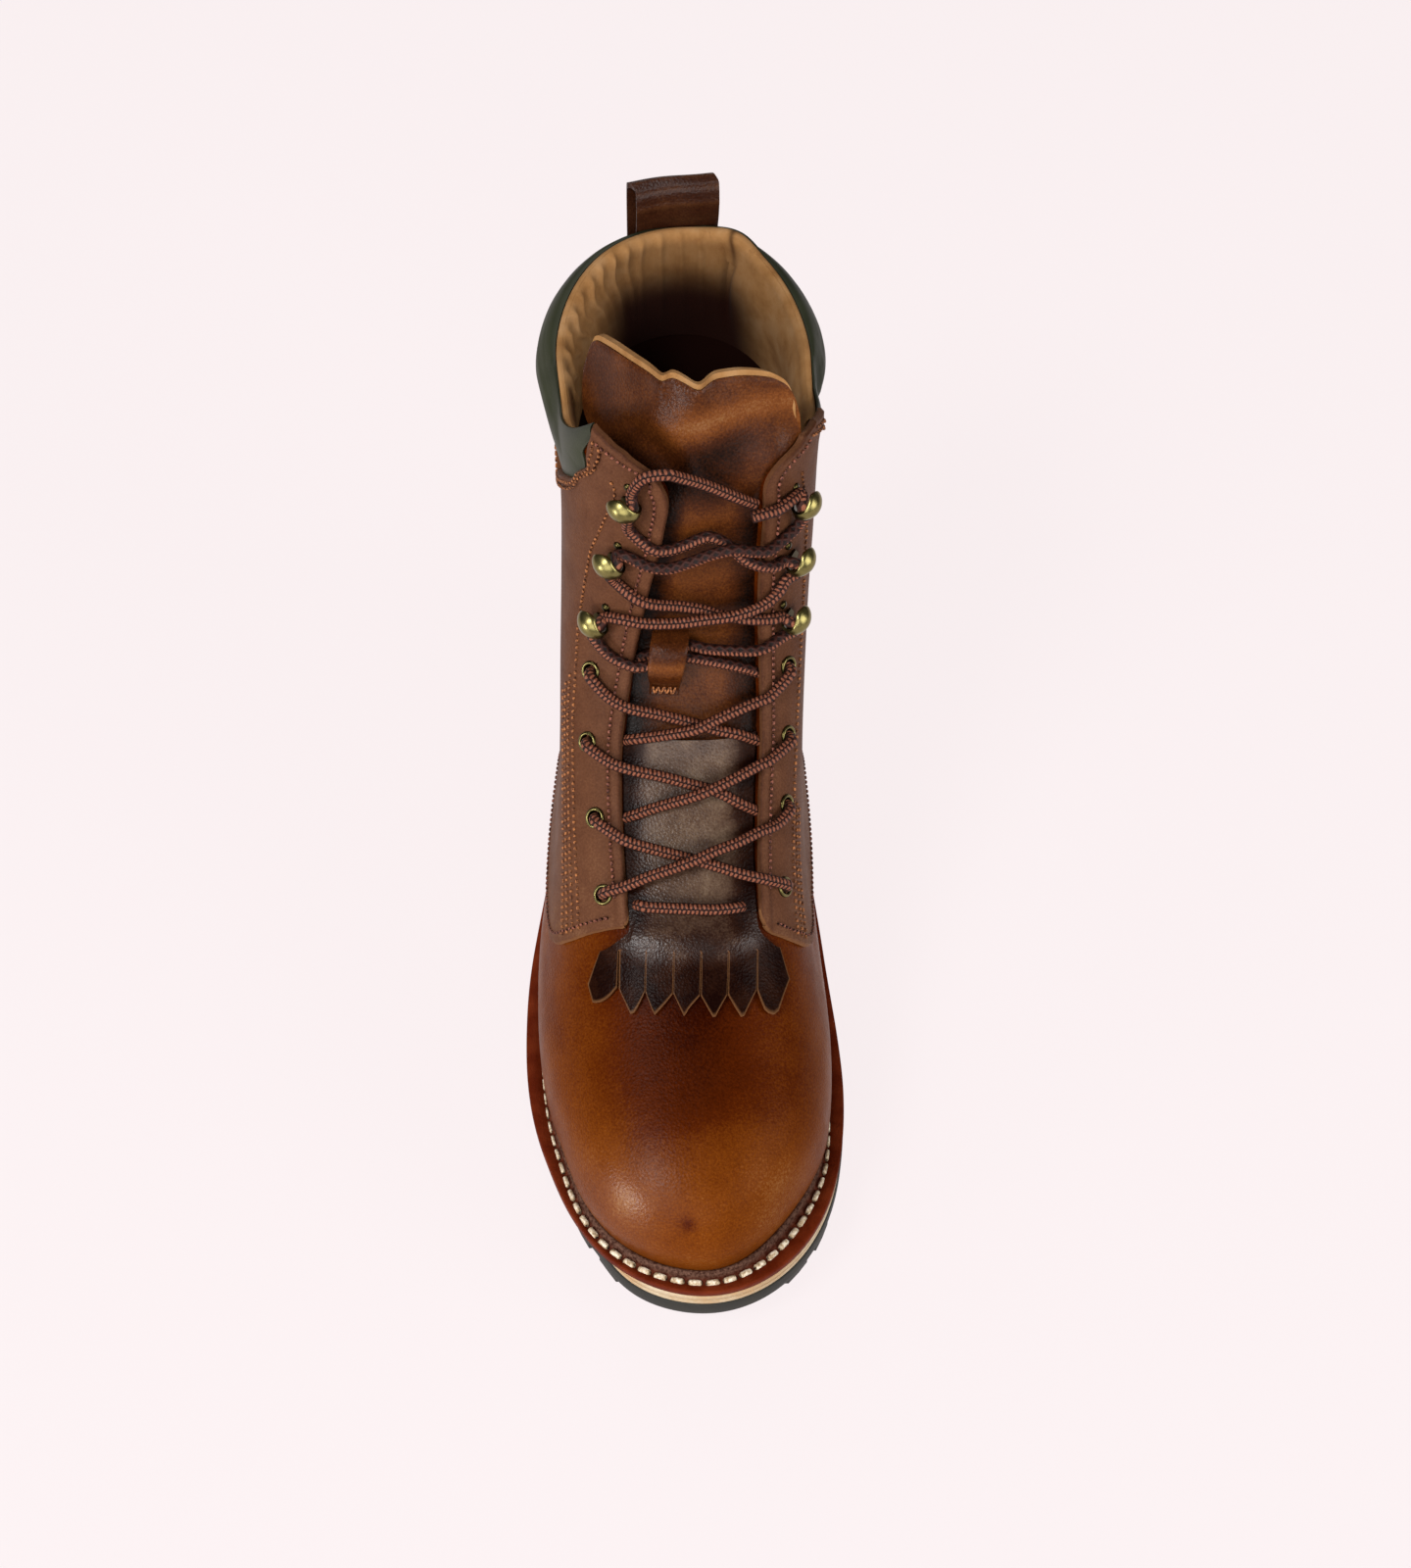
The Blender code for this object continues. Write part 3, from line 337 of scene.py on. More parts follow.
def heel_loop(inset):
    """Loop round the heel, straight across at its breast."""
    turn = np.linspace(0.0, math.pi / 2.0, SOLE_STATIONS // 2)
    along = HEEL_BREAST * (1.0 - np.cos(turn))
    half = sole_half(along) * (HEEL_HALF - inset) / HEEL_HALF
    along = inset + along * (HEEL_BREAST - 2.0 * inset) / HEEL_BREAST
    lateral = np.stack((axis(along) - half, along), axis=1)
    medial = np.stack((axis(along) + half, along), axis=1)
    return np.concatenate((lateral, medial[::-1][:-1]))


heel_rings = [at_level(heel_loop(inset), LUG_DEPTH + rise) for inset, rise in HEEL_FOOT]
heel_rings += [at_level(heel_loop(inset), over_base(-GAP - drop)) for inset, drop in HEEL_TOP]
blocks = tread(HEEL_LUGS, HEEL_BARS, HEEL_BAR_SHARE, lambda s: np.full(len(s), LUG_DEPTH + LUG_SINK))
heel = boot_mesh("heel_block", rubber, *join([loft(heel_rings)] + blocks), sharp=35.0)
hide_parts("heel")


# Midsole. A slab of pale crepe rubber between welt and outsole, cut with a knife and scoured, so
# its edge is matt, a little porous, and has a fine groove run round it with a bone tool.

MIDSOLE_THICK = 5.5
MIDSOLE_INSET = 0.5
MIDSOLE_RISE = OUTSOLE_THICK + GAP
CREPE_TAN = "#a88c68"
CREPE_PALE = "#b8a68a"
CREPE_SHADE = "#b48a5c"
# Edge of the midsole from its underside up: inset, rise over its underside
MIDSOLE_EDGE = ((6.0, 0.0), (0.55, 0.0), (0.1, 0.4), (0.0, 1.2), (0.05, 2.5), (0.55, 2.7), (0.55, 2.95),
                (0.1, 3.2), (0.1, 4.6), (0.3, 5.2), (0.8, 5.5), (6.0, 5.5))


def crepe_rubber():
    """Crepe rubber with a scoured edge: warm cream, darker in its pores, no gloss."""
    material, tree, shader, at = new_material("crepe_rubber")
    cloud = add(tree, "TexNoise", {"Scale": per_mm(22.0), "Detail": 4.0}, at)
    pores = add(tree, "TexNoise", {"Scale": per_mm(1.3), "Detail": 4.0, "Roughness": 0.7}, at)
    mixed = add(tree, "Math", {"operation": "MULTIPLY_ADD", 1: 0.45}, {0: pores, 2: cloud})
    stops = ((0.52, CREPE_SHADE), (0.68, CREPE_TAN), (0.9, CREPE_PALE))
    colour = add(tree, "ValToRGB", {"stops": stops}, {"Fac": mixed})
    bump = add(tree, "Bump", {"Strength": 0.3, "Distance": 0.0003}, {"Height": pores})
    set_up(shader, {"Roughness": 0.72}, {"Base Color": colour, "Normal": bump})
    return material


crepe = crepe_rubber()
midsole_rings = [at_level(sole_loop(MIDSOLE_INSET + inset), over_base(MIDSOLE_RISE + rise))
                 for inset, rise in MIDSOLE_EDGE]
midsole = boot_mesh("midsole_slab", crepe, *loft(midsole_rings), sharp=60.0)
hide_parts("midsole")


# Welt. A strip of red-brown harness leather sewn round the lasted edge of the upper; its inner side
# is rolled up into a storm ridge, and thick waxed thread locks it to the sole in a shallow channel.

WALL = 2.2
WELT_INSET = 0.3
WELT_LAP = 1.2
WELT_SEAT = 0.55
WELT_COLUMNS = 320
WELT_RISE = MIDSOLE_RISE + MIDSOLE_THICK + WELT_SEAT
WELT_FLAT = 3.4
RIDGE_FOOT = 2.5
LEAST_FLAT = 0.5
CHANNEL = 0.30
LOCK_RISE = 3.3
WELT_STITCH_LONG = 5.0
WELT_STITCH_GAP = 0.9
WELT_STITCH_THICK = 2.1
# The ridge and the thread grow to their full size towards the toe: size at the sides, where they grow
SIDE_RIDGE = 0.40
SIDE_STITCH_THICK = 0.65
TOE_SPAN = (215.0, 285.0)
# The welt's reach to the sole's edge is found by halving: farthest reach, number of halvings
REACH_MOST = 30.0
REACH_STEPS = 24
WELT_RED = "#521804"
WELT_EDGE = "#68280f"
RIDGE_BROWN = "#64473a"
RIDGE_DARK = "#2d140c"
THREAD_CREAM = "#e1d5bf"
THREAD_SHADE = "#a89172"
# Painted shade of the stitch holes, where the thread goes down
THREAD_HOLE_SHADE = "#200c06"
# Thread of one stitch from end to end: share of its length, thickness, rise, painted shade where it goes into
# its hole
STITCH = np.array((
    (0.0, 0.6, -0.35, 1.0),
    (0.14, 0.95, 0.12, 0.2),
    (0.5, 1.0, 0.25, 0.0),
    (0.86, 0.95, 0.12, 0.2),
    (1.0, 0.6, -0.35, 1.0),
))

# Section of the welt: distance from the upper's edge, share of the flat part, rise, on the ridge
WELT_SECTION = (
    (-WALL - WELT_LAP, 0.0, 0.0, 0.0),
    (RIDGE_FOOT, 0.5, 0.0, 0.0),
    (RIDGE_FOOT - 0.5, 1.0, 0.0, 0.0),
    (RIDGE_FOOT, 1.0, 0.5, 0.0),
    (RIDGE_FOOT, 1.0, 2.7, 0.0),
    (RIDGE_FOOT - 0.15, 1.0, 3.15, 0.0),
    (RIDGE_FOOT - 0.6, 1.0, 3.4, 0.0),
    (RIDGE_FOOT + 1.0, CHANNEL, 3.4, 0.0),
    (RIDGE_FOOT + 0.5, CHANNEL, 3.1, 0.3),
    (RIDGE_FOOT - 0.5, CHANNEL, 3.1, 0.3),
    (RIDGE_FOOT - 0.2, 0.08, 3.4, 0.4),
    (RIDGE_FOOT - 0.4, 0.0, 3.9, 0.8),
    (RIDGE_FOOT - 0.7, 0.0, 4.9, 1.0),
    (RIDGE_FOOT - 1.3, 0.0, 5.8, 1.0),
    (RIDGE_FOOT - 2.0, 0.0, 6.1, 1.0),
    (0.2, 0.0, 5.9, 1.0),
    (-1.6, 0.0, 4.4, 1.0),
    (-WALL - WELT_LAP, 0.0, 3.4, 0.0),
)

# The last, in rings from the upper's feather edge to above the collar: back, heel place and half width,
# forefoot place and half width, front, squareness, heights at back, heel, forefoot and front, turn,
# half width of the throat on the lateral and the medial side, sway
RINGS = np.array((
    (5.0, 48, 35.5, 211, 48.5, 297.0, 2.00, 35.0, 35.0, 20.5, 32.5, 0.0, 18.0, 24.0, 0.0),
    (4.2, 48, 37.8, 209, 50.6, 298.0, 2.10, 47.0, 45.5, 32.0, 43.0, 0.0, 18.0, 24.0, 0.0),
    (3.8, 48, 38.8, 206, 50.6, 294.5, 2.10, 59.0, 56.0, 43.0, 53.0, 0.0, 18.0, 24.0, 0.0),
    (3.8, 48, 39.0, 202, 49.0, 286.0, 2.15, 71.5, 67.5, 53.0, 62.0, 0.0, 18.0, 24.0, 0.0),
    (4.4, 49, 38.8, 193, 46.0, 271.0, 2.20, 85.0, 80.0, 63.0, 69.5, 0.0, 18.0, 24.0, 0.0),
    (5.4, 50, 38.5, 180, 43.0, 250.0, 2.25, 99.0, 92.0, 73.0, 77.0, 0.0, 18.0, 24.5, 0.0),
    (6.6, 51, 38.3, 162, 41.0, 227.0, 2.30, 113.0, 105.0, 84.0, 86.5, 0.0, 18.0, 25.0, 0.0),
    (8.0, 53, 38.2, 143, 40.0, 206.0, 2.50, 127.0, 118.0, 97.0, 97.5, 0.0, 18.0, 25.0, 0.0),
    (9.2, 55, 38.5, 122, 39.8, 181.0, 2.80, 143.0, 133.0, 112.0, 111.5, 0.0, 19.0, 25.5, 0.0),
    (10.0, 57, 39.0, 103, 40.0, 155.0, 3.00, 160.0, 150.0, 131.0, 129.5, 0.4, 20.0, 25.5, 0.2),
    (10.3, 58, 39.5, 90, 40.0, 135.0, 3.00, 178.0, 170.0, 154.0, 150.5, 1.4, 17.5, 23.5, 0.5),
    (10.2, 59, 40.0, 84, 40.0, 127.0, 2.80, 196.0, 189.0, 179.0, 174.0, 3.2, 15.5, 20.5, 1.2),
    (9.8, 60, 40.5, 80, 40.3, 122.5, 2.60, 212.0, 205.0, 199.0, 201.0, 4.7, 12.0, 20.0, 2.2),
    (9.5, 60, 41.0, 78, 40.6, 120.0, 2.55, 221.0, 213.0, 208.0, 220.0, 5.3, 12.5, 20.5, 2.5),
    (9.2, 61, 41.5, 77, 41.0, 118.0, 2.50, 229.0, 220.0, 215.0, 236.0, 5.8, 30.0, 32.0, 2.6),
    (9.2, 61, 41.5, 76, 40.5, 113.5, 2.40, 243.0, 235.0, 231.0, 250.0, 5.8, 30.0, 32.0, 2.6),
))
COLLAR_RING = 14.0
TOP_RING = 15.0
SLOT_U = 0.80
TURN_PIVOT = 0.3
RING_STEPS = 90
UPPER_SWELL = 0.17
TABLE_ROWS = 301
TABLE_COLUMNS = 481


def flow_at(rows, place):
    """The row of a table at a place between its rows, on a smooth curve through them."""
    last = len(rows) - 1
    low = int(min(max(math.floor(place), 0), last - 1))
    share = place - low
    start, end = rows[low], rows[low + 1]
    lead_in = (end - rows[max(low - 1, 0)]) / 2.0
    lead_out = (rows[min(low + 2, last)] - start) / 2.0
    square, cube = share ** 2, share ** 3
    return ((2 * cube - 3 * square + 1) * start + (cube - 2 * square + share) * lead_in
            + (3 * square - 2 * cube) * end + (cube - square) * lead_out)


def run_along(line):
    """How far each point of a line lies along it."""
    return np.concatenate(((0.0,), np.cumsum(np.linalg.norm(np.diff(line, axis=0), axis=1))))


def points_along(at, run, line):
    """Points of a line at distances along it."""
    return np.stack([np.interp(at, run, line[:, k]) for k in range(3)], axis=1)


def ring_line(v, side):
    """Half a ring from back to front: its points, the run along it, and the run at the throat edge."""
    (back, heel_at, heel_wide, fore_at, fore_wide, front, square, back_up, heel_up, fore_up, front_up,
     degrees, slot_out, slot_in, sway) = flow_at(RINGS, v)
    turn_in = np.linspace(0.0, math.pi / 2.0, RING_STEPS)
    power = 2.0 / square
    heel_s = heel_at - (heel_at - back) * np.cos(turn_in)
    waist_s = np.linspace(heel_at, fore_at, RING_STEPS)[1:-1]
    fore_s = fore_at + (front - fore_at) * np.sin(turn_in) ** power
    rise = smoothstep(heel_at, fore_at, waist_s)
    waist_half = heel_wide + (fore_wide - heel_wide) * rise
    fore_half = fore_wide * np.cos(turn_in).clip(0.0) ** power
    half = np.concatenate((heel_wide * np.sin(turn_in), waist_half, fore_half))
    heel_z = back_up + (heel_up - back_up) * smoothstep(back, heel_at, heel_s)
    waist_z = heel_up + (fore_up - heel_up) * rise
    fore_z = fore_up + (front_up - fore_up) * ((fore_s - fore_at) / (front - fore_at)) ** 2
    s = np.concatenate((heel_s, waist_s, fore_s))
    x = axis(s) + side * half - sway * half / half.max() - half * toe_swell(s, UPPER_SWELL)
    pivot_s = back + TURN_PIVOT * (front - back)
    pivot_x = float(axis(pivot_s))
    turn = math.radians(degrees)
    across, along = x - pivot_x, s - pivot_s
    x = pivot_x + across * math.cos(turn) + along * math.sin(turn)
    s = pivot_s - across * math.sin(turn) + along * math.cos(turn)
    line = np.column_stack((x, s, np.concatenate((heel_z, waist_z, fore_z))))
    run = run_along(line)
    slot = slot_out if side < 0 else slot_in
    slot_run = float(np.interp(slot, fore_half[::-1], run[-RING_STEPS:][::-1]))
    return line, run, slot_run


def ring_points(v, places):
    """Points round a ring: place 0 at the back, -1 and 1 at the front, below 0 on the lateral side."""
    points = np.zeros((len(places), 3))
    for side in (-1, 1):
        chosen = places < 0 if side < 0 else places >= 0
        line, run, slot_run = ring_line(v, side)
        reach = np.abs(places[chosen])
        ahead = slot_run + (reach - SLOT_U) / (1.0 - SLOT_U) * (run[-1] - slot_run)
        at = np.where(reach < SLOT_U, reach / SLOT_U * slot_run, ahead)
        points[chosen] = points_along(at, run, line)
    return points


def pair_place(v, distance, side):
    """Place on a ring that lies a distance behind the throat's edge."""
    slot_run = ring_line(v, side)[2]
    return side * (slot_run - distance) / slot_run * SLOT_U


TABLE_PLACES = np.linspace(-1.0, 1.0, TABLE_COLUMNS)
SURFACE = np.array([ring_points(v, TABLE_PLACES) for v in np.linspace(0.0, TOP_RING, TABLE_ROWS)])
wrapped = np.concatenate((SURFACE[:, -2:-1], SURFACE, SURFACE[:, 1:2]), axis=1)
NORMALS = unit(np.cross(wrapped[:, 2:] - wrapped[:, :-2], np.gradient(SURFACE, axis=0)))
if NORMALS[TABLE_ROWS // 5, 0, 1] < 0:
    NORMALS = -NORMALS


def skin(u, v, height=0.0):
    """Points at places round the rings, at rings, and at heights over the upper's outer surface."""
    u, v, height = np.broadcast_arrays(np.asarray(u, float), np.asarray(v, float), np.asarray(height, float))
    column = ((u + 1.0) % 2.0) / 2.0 * (TABLE_COLUMNS - 1)
    row = np.clip(v, 0.0, TOP_RING) / TOP_RING * (TABLE_ROWS - 1)
    left = np.clip(np.floor(column).astype(int), 0, TABLE_COLUMNS - 2)
    low = np.clip(np.floor(row).astype(int), 0, TABLE_ROWS - 2)
    across = (column - left)[..., None]
    up = (row - low)[..., None]

    def between(table):
        below = table[low, left] * (1 - across) + table[low, left + 1] * across
        above = table[low + 1, left] * (1 - across) + table[low + 1, left + 1] * across
        return below * (1 - up) + above * up

    return between(SURFACE) + unit(between(NORMALS)) * height[..., None]


def band(rings, wrap=True):
    """Points and faces of a closed bar: loops of one section, joined on round it and along it."""
    rows, count = len(rings), len(rings[0])
    faces = []
    for row in range(rows):
        for place in range(count if wrap else count - 1):
            a, b = row * count + place, row * count + (place + 1) % count
            c, d = ((row + 1) % rows) * count + (place + 1) % count, ((row + 1) % rows) * count + place
            faces.append((a, b, c, d))
    if not wrap:
        faces.append(tuple(row * count for row in range(rows)))
        faces.append(tuple(row * count + count - 1 for row in reversed(range(rows))))
    return np.concatenate(rings), faces


def stitch_row(line, out, long, gap, thick, sides=6):
    """Thread lying along a line in single stitches, each a small bar pulled in at both its ends."""
    line = np.asarray(line)
    run = run_along(line)
    count = max(int(run[-1] / (long + gap)), 1)
    pitch = run[-1] / count
    thickness = np.broadcast_to(thick, run.shape)
    parts = []
    for number in range(count):
        at = number * pitch + STITCH[:, 0] * (pitch - gap)
        here = float(np.interp(at[2], run, thickness))
        swell = STITCH[:, 1] * here / 2.0
        rise = STITCH[:, 2] * here
        centre = points_along(at, run, line)
        ahead = unit(np.gradient(centre, axis=0))
        side = unit(np.cross(ahead, points_along(at, run, out)))
        normal = np.cross(side, ahead)
        centre = centre + normal * rise[:, None]
        rings = []
        for turn in np.linspace(0.0, 2.0 * math.pi, sides, endpoint=False):
            rings.append(centre + (side * math.cos(turn) + normal * math.sin(turn)) * swell[:, None])
        parts.append(band(rings, wrap=False))
    return join(parts)


def harness_leather():
    """Harness leather with a wheeled ridge: waxed red-brown, darker and rougher where it is rolled up."""
    material, tree, shader, at = new_material("harness_leather_waxed")
    ridge = add(tree, "Attribute", {"attribute_name": "ridge"}).outputs["Fac"]
    cloud = add(tree, "TexNoise", {"Scale": per_mm(9.0), "Detail": 5.0}, at)
    grain = add(tree, "TexNoise", {"Scale": per_mm(1.0), "Detail": 5.0, "Roughness": 0.7}, at)
    flat = add(tree, "ValToRGB", {"stops": ((0.4, WELT_RED), (0.7, WELT_EDGE))}, {"Fac": cloud})
    rolled = add(tree, "ValToRGB", {"stops": ((0.38, RIDGE_DARK), (0.62, RIDGE_BROWN))}, {"Fac": grain})
    colour = add(tree, "Mix", {"data_type": "RGBA"}, {0: ridge, 6: flat, 7: rolled}).outputs[2]
    bump = add(tree, "Bump", {"Strength": 0.6, "Distance": 0.0006}, {"Height": grain})
    set_up(shader, {"Roughness": 0.55, "Specular IOR Level": 0.05}, {"Base Color": colour, "Normal": bump})
    return material


def waxed_thread(name, colour, shade, twist):
    """Waxed linen thread, twisted: matt with a little wax shine, painted dark as shade where it goes into its
    hole.
    """
    material, tree, shader, at = new_material(name)
    sunk = add(tree, "Attribute", {"attribute_name": "sunk"}).outputs["Fac"]
    strands = add(tree, "TexNoise", {"Scale": per_mm(twist), "Detail": 3.0}, at)
    seen = add(tree, "Math", {"operation": "MULTIPLY_ADD", 1: -0.4}, {0: sunk, 2: strands})
    stops = ((0.1, THREAD_HOLE_SHADE), (0.36, shade), (0.6, colour))
    tone = add(tree, "ValToRGB", {"stops": stops}, {"Fac": seen})
    bump = add(tree, "Bump", {"Strength": 0.5, "Distance": 0.0003}, {"Height": strands})
    set_up(shader, {"Roughness": 0.6, "Specular IOR Level": 0.2}, {"Base Color": tone, "Normal": bump})
    return material


def sewn(name, rows, thread):
    """Rows of stitches as one piece, painted darker as shade where each stitch goes down into its hole."""
    points, faces = join(rows)
    sunk = np.tile(STITCH[:, 3], len(points) // len(STITCH))
    return boot_mesh(name, thread, points, faces, {"sunk": sunk})


welt_places = np.linspace(-1.0, 1.0, WELT_COLUMNS, endpoint=False)
feather = skin(welt_places, 0.0)
ahead = np.roll(feather, -1, axis=0) - np.roll(feather, 1, axis=0)
outward = unit(np.stack((ahead[:, 1], -ahead[:, 0]), axis=1))
if outward[0, 1] < 0:
    outward = -outward


def in_sole(x, s, inset):
    """Whether places lie within the sole's outline, drawn in by an inset."""
    middle = LENGTH / 2.0
    whole = middle + (s - middle) * middle / (middle - inset)
    half = sole_half(whole) * (BALL_HALF - inset) / BALL_HALF
    half = np.where(x < axis(whole), half * (1.0 + toe_swell(whole, SOLE_SWELL)), half)
    return (np.abs(x - axis(whole)) < half) & (whole > 0.0) & (whole < LENGTH)


welt_reach = np.zeros(WELT_COLUMNS)
past_edge = np.full(WELT_COLUMNS, REACH_MOST)
for step in range(REACH_STEPS):
    middle = (welt_reach + past_edge) / 2.0
    tried = feather[:, :2] + outward * middle[:, None]
    held = in_sole(tried[:, 0], tried[:, 1], WELT_INSET)
    welt_reach = np.where(held, middle, welt_reach)
    past_edge = np.where(held, past_edge, middle)
at_toe = smoothstep(*TOE_SPAN, feather[:, 1])
ridge_size = SIDE_RIDGE + (1.0 - SIDE_RIDGE) * at_toe


def welt_line(distance, share, rise):
    """A loop round the welt, so far out from the upper's edge; its ridge is full at the toe alone."""
    flat = np.clip(welt_reach - RIDGE_FOOT * ridge_size, LEAST_FLAT, None)
    away = distance * (ridge_size if distance > 0 else 1.0)
    away = away + share * (ridge_size if share < 0.5 else 1.0) * flat
    plan = feather[:, :2] + outward * away[:, None]
    level = min(rise, WELT_FLAT) + max(rise - WELT_FLAT, 0.0) * ridge_size
    return np.column_stack((plan, sole_base(plan[:, 1]) + WELT_RISE + level))


welt_red = harness_leather()
ridge_values = np.concatenate([np.full(WELT_COLUMNS, on_ridge) for *_, on_ridge in WELT_SECTION])
welt_shape = band([welt_line(distance, share, rise) for distance, share, rise, _ in WELT_SECTION])
welt = boot_mesh("welt_strip", welt_red, *welt_shape, {"ridge": ridge_values}, sharp=60.0)
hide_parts("welt")

cream_thread = waxed_thread("waxed_linen_cream", THREAD_CREAM, THREAD_SHADE, 1.2)
lock_line = welt_line(RIDGE_FOOT, CHANNEL, LOCK_RISE)
lock_line = np.concatenate((lock_line, lock_line[:1]))
upwards = np.tile((0.0, 0.0, 1.0), (len(lock_line), 1))
lock_thick = SIDE_STITCH_THICK + (WELT_STITCH_THICK - SIDE_STITCH_THICK) * np.append(at_toe, at_toe[0])
lock_row = stitch_row(lock_line, upwards, WELT_STITCH_LONG, WELT_STITCH_GAP, lock_thick, sides=8)
welt_stitches = sewn("welt_stitches", [lock_row], cream_thread)


# Insole. Vegetable-tanned leather inside the boot, cut flat and cemented over the cork filler;
# only its smooth, foot-darkened top can be seen down the shaft.

INSOLE_THICK = 5.0
INSOLE_CHAMFER = 0.6
INSOLE_INSET = WALL + WELT_LAP + 2.0 * GAP
INSOLE_TAN = "#8a5a35"
INSOLE_WORN = "#57341d"


def tanned_leather():
    """Vegetable-tanned leather, smoothed by wear: mid brown with darker foot marks."""
    material, tree, shader, at = new_material("vegetable_tanned_leather")
    wear = add(tree, "TexNoise", {"Scale": per_mm(30.0), "Detail": 4.0}, at)
    colour = add(tree, "ValToRGB", {"stops": ((0.4, INSOLE_WORN), (0.7, INSOLE_TAN))}, {"Fac": wear})
    set_up(shader, {"Roughness": 0.55}, {"Base Color": colour})
    return material


def insole_loop(inset, rise):
    """A loop inside the upper's lower edge, so far over the midsole."""
    half_turn = np.linspace(0.0, 1.0, WELT_COLUMNS // 2)
    places = np.concatenate((-half_turn, half_turn[::-1][1:-1]))
    ring = skin(places, 0.0)
    middle = np.array((float(axis(LENGTH / 2.0)), LENGTH / 2.0))
    inward = middle - ring[:, :2]
    inward /= np.linalg.norm(inward, axis=1)[:, None]
    plan = ring[:, :2] + inward * (INSOLE_INSET + inset)
    return np.column_stack((plan, sole_base(plan[:, 1]) + WELT_RISE + rise))


insole_rings = (insole_loop(0.0, 0.0), insole_loop(0.0, INSOLE_THICK - INSOLE_CHAMFER),
                insole_loop(INSOLE_CHAMFER, INSOLE_THICK))
insole = boot_mesh("insole_board", tanned_leather(), *loft(insole_rings))
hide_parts("insole")


# Vamp and backing. One layer of oiled pull-up leather, lasted wet over the toe, which makes the vamp
# and runs on up the shaft under the quarters; its top is painted darker as shade, and a painted highlight
# pales it round the lateral toe, with a paler patch on the medial toe.

UPPER_COLUMNS = 300
UPPER_ROW = 0.1
THROAT_RING = 7.0
EYELET_HOLE = 2.7
# Colours of the leather, darkest to palest: gathered oil and painted shade up to rubbed leather and painted
# highlight
VAMP_COLOURS = ("#240600", "#451802", "#683308", "#885c32")
CUT_TAN = "#7b5334"
# Grain of the leather, drawn coarser than life so that it shows: specks, pebbles, pores, patches of polish
SPECK_SIZE = 0.8
PEBBLE_SIZE = 0.9
PORE_SIZE = 0.45
POLISH_SIZE = 11.0
# Range in which most of a noise lies
NOISE_RANGE = {"From Min": 0.3, "From Max": 0.7}
# Tone of the vamp, and the painted shade on its top: how much darker, half width, where along the boot, over
# which rings
VAMP_TONE = 0.60
TOP_DARKER = 0.56
TOP_HALF = 30.0
TOP_SPAN = (288.0, 236.0)
TOP_RINGS = (2.0, 4.5)
# Paler and marked places of the vamp, first a painted highlight round the lateral toe, then a paler patch
# and a dark mark: place, ring, radius, how much paler
MARKS_AND_HIGHLIGHT = ((-0.787, 2.4, 9.0, 0.30), (0.79, 2.9, 13.0, 0.12), (-0.955, 2.3, 2.6, -0.34))
# The wax is dulled by handling but for a radius round the first of those places, the painted highlight
VAMP_DULL = 0.9
POLISHED = 15.0
# The top of the shaft is pressed out at its medial back corner: how far, place, half width, over which rings
PUSH = 3.2
PUSH_AT = 0.125
PUSH_HALF = 0.06
PUSH_RINGS = (11.5, 14.0)

# Pairs of lace holders: kind, then the ring and the distance behind the throat's edge on each side
LACE_PAIRS = (
    ("eyelet", 7.18, 9.4, 6.94, 14.0),
    ("eyelet", 8.07, 10.4, 7.97, 14.8),
    ("eyelet", 8.84, 13.0, 8.79, 13.0),
    ("eyelet", 9.68, 14.0, 9.65, 11.5),
    ("hook", 10.50, 16.5, 10.42, 13.5),
    ("hook", 11.52, 14.5, 11.30, 14.0),
    ("hook", 12.70, 13.0, 12.25, 15.0),
)


def lace_holders(kind):
    """Number, side, place and ring of each eyelet or hook."""
    found = []
    for number, (this, out_ring, out_distance, in_ring, in_distance) in enumerate(LACE_PAIRS, 1):
        if this == kind:
            found.append((number, -1, pair_place(out_ring, out_distance, -1), out_ring))
            found.append((number, 1, pair_place(in_ring, in_distance, 1), in_ring))
    return found


def shell(out, inside, values=None, keep=None, wrap=False):
    """A closed sheet between two grids of points: points, faces and the values at its points.

    Only the cells that keep names are made; wrap joins the last column on to the first.
    """
    rows, columns = out.shape[:2]
    cells = columns if wrap else columns - 1
    keep = np.ones((rows - 1, cells), bool) if keep is None else keep[:, :cells]
    number = np.arange(rows * columns).reshape(rows, columns)
    back = rows * columns
    faces = []
    for row in range(rows - 1):
        for column in range(cells):
            if not keep[row, column]:
                continue
            after = (column + 1) % columns
            a, b = number[row, column], number[row, after]
            c, d = number[row + 1, after], number[row + 1, column]
            faces.append((a, b, c, d))
            faces.append((d + back, c + back, b + back, a + back))
            left = keep[row, column - 1] if column or wrap else False
            right = keep[row, (column + 1) % cells] if column + 1 < cells or wrap else False
            below = row > 0 and keep[row - 1, column]
            above = row + 2 < rows and keep[row + 1, column]
            for start, end, joined in ((a, b, below), (b, c, right), (c, d, above), (d, a, left)):
                if not joined:
                    faces.append((end, start, start + back, end + back))
    points = np.concatenate((out.reshape(-1, 3), inside.reshape(-1, 3)))
    used = np.unique([corner for face in faces for corner in face])
    renumber = np.zeros(len(points), int)
    renumber[used] = np.arange(len(used))
    faces = [tuple(int(renumber[corner]) for corner in face) for face in faces]
    values = {title: np.tile(grid.ravel(), 2)[used] for title, grid in (values or {}).items()}
    return points[used], faces, values


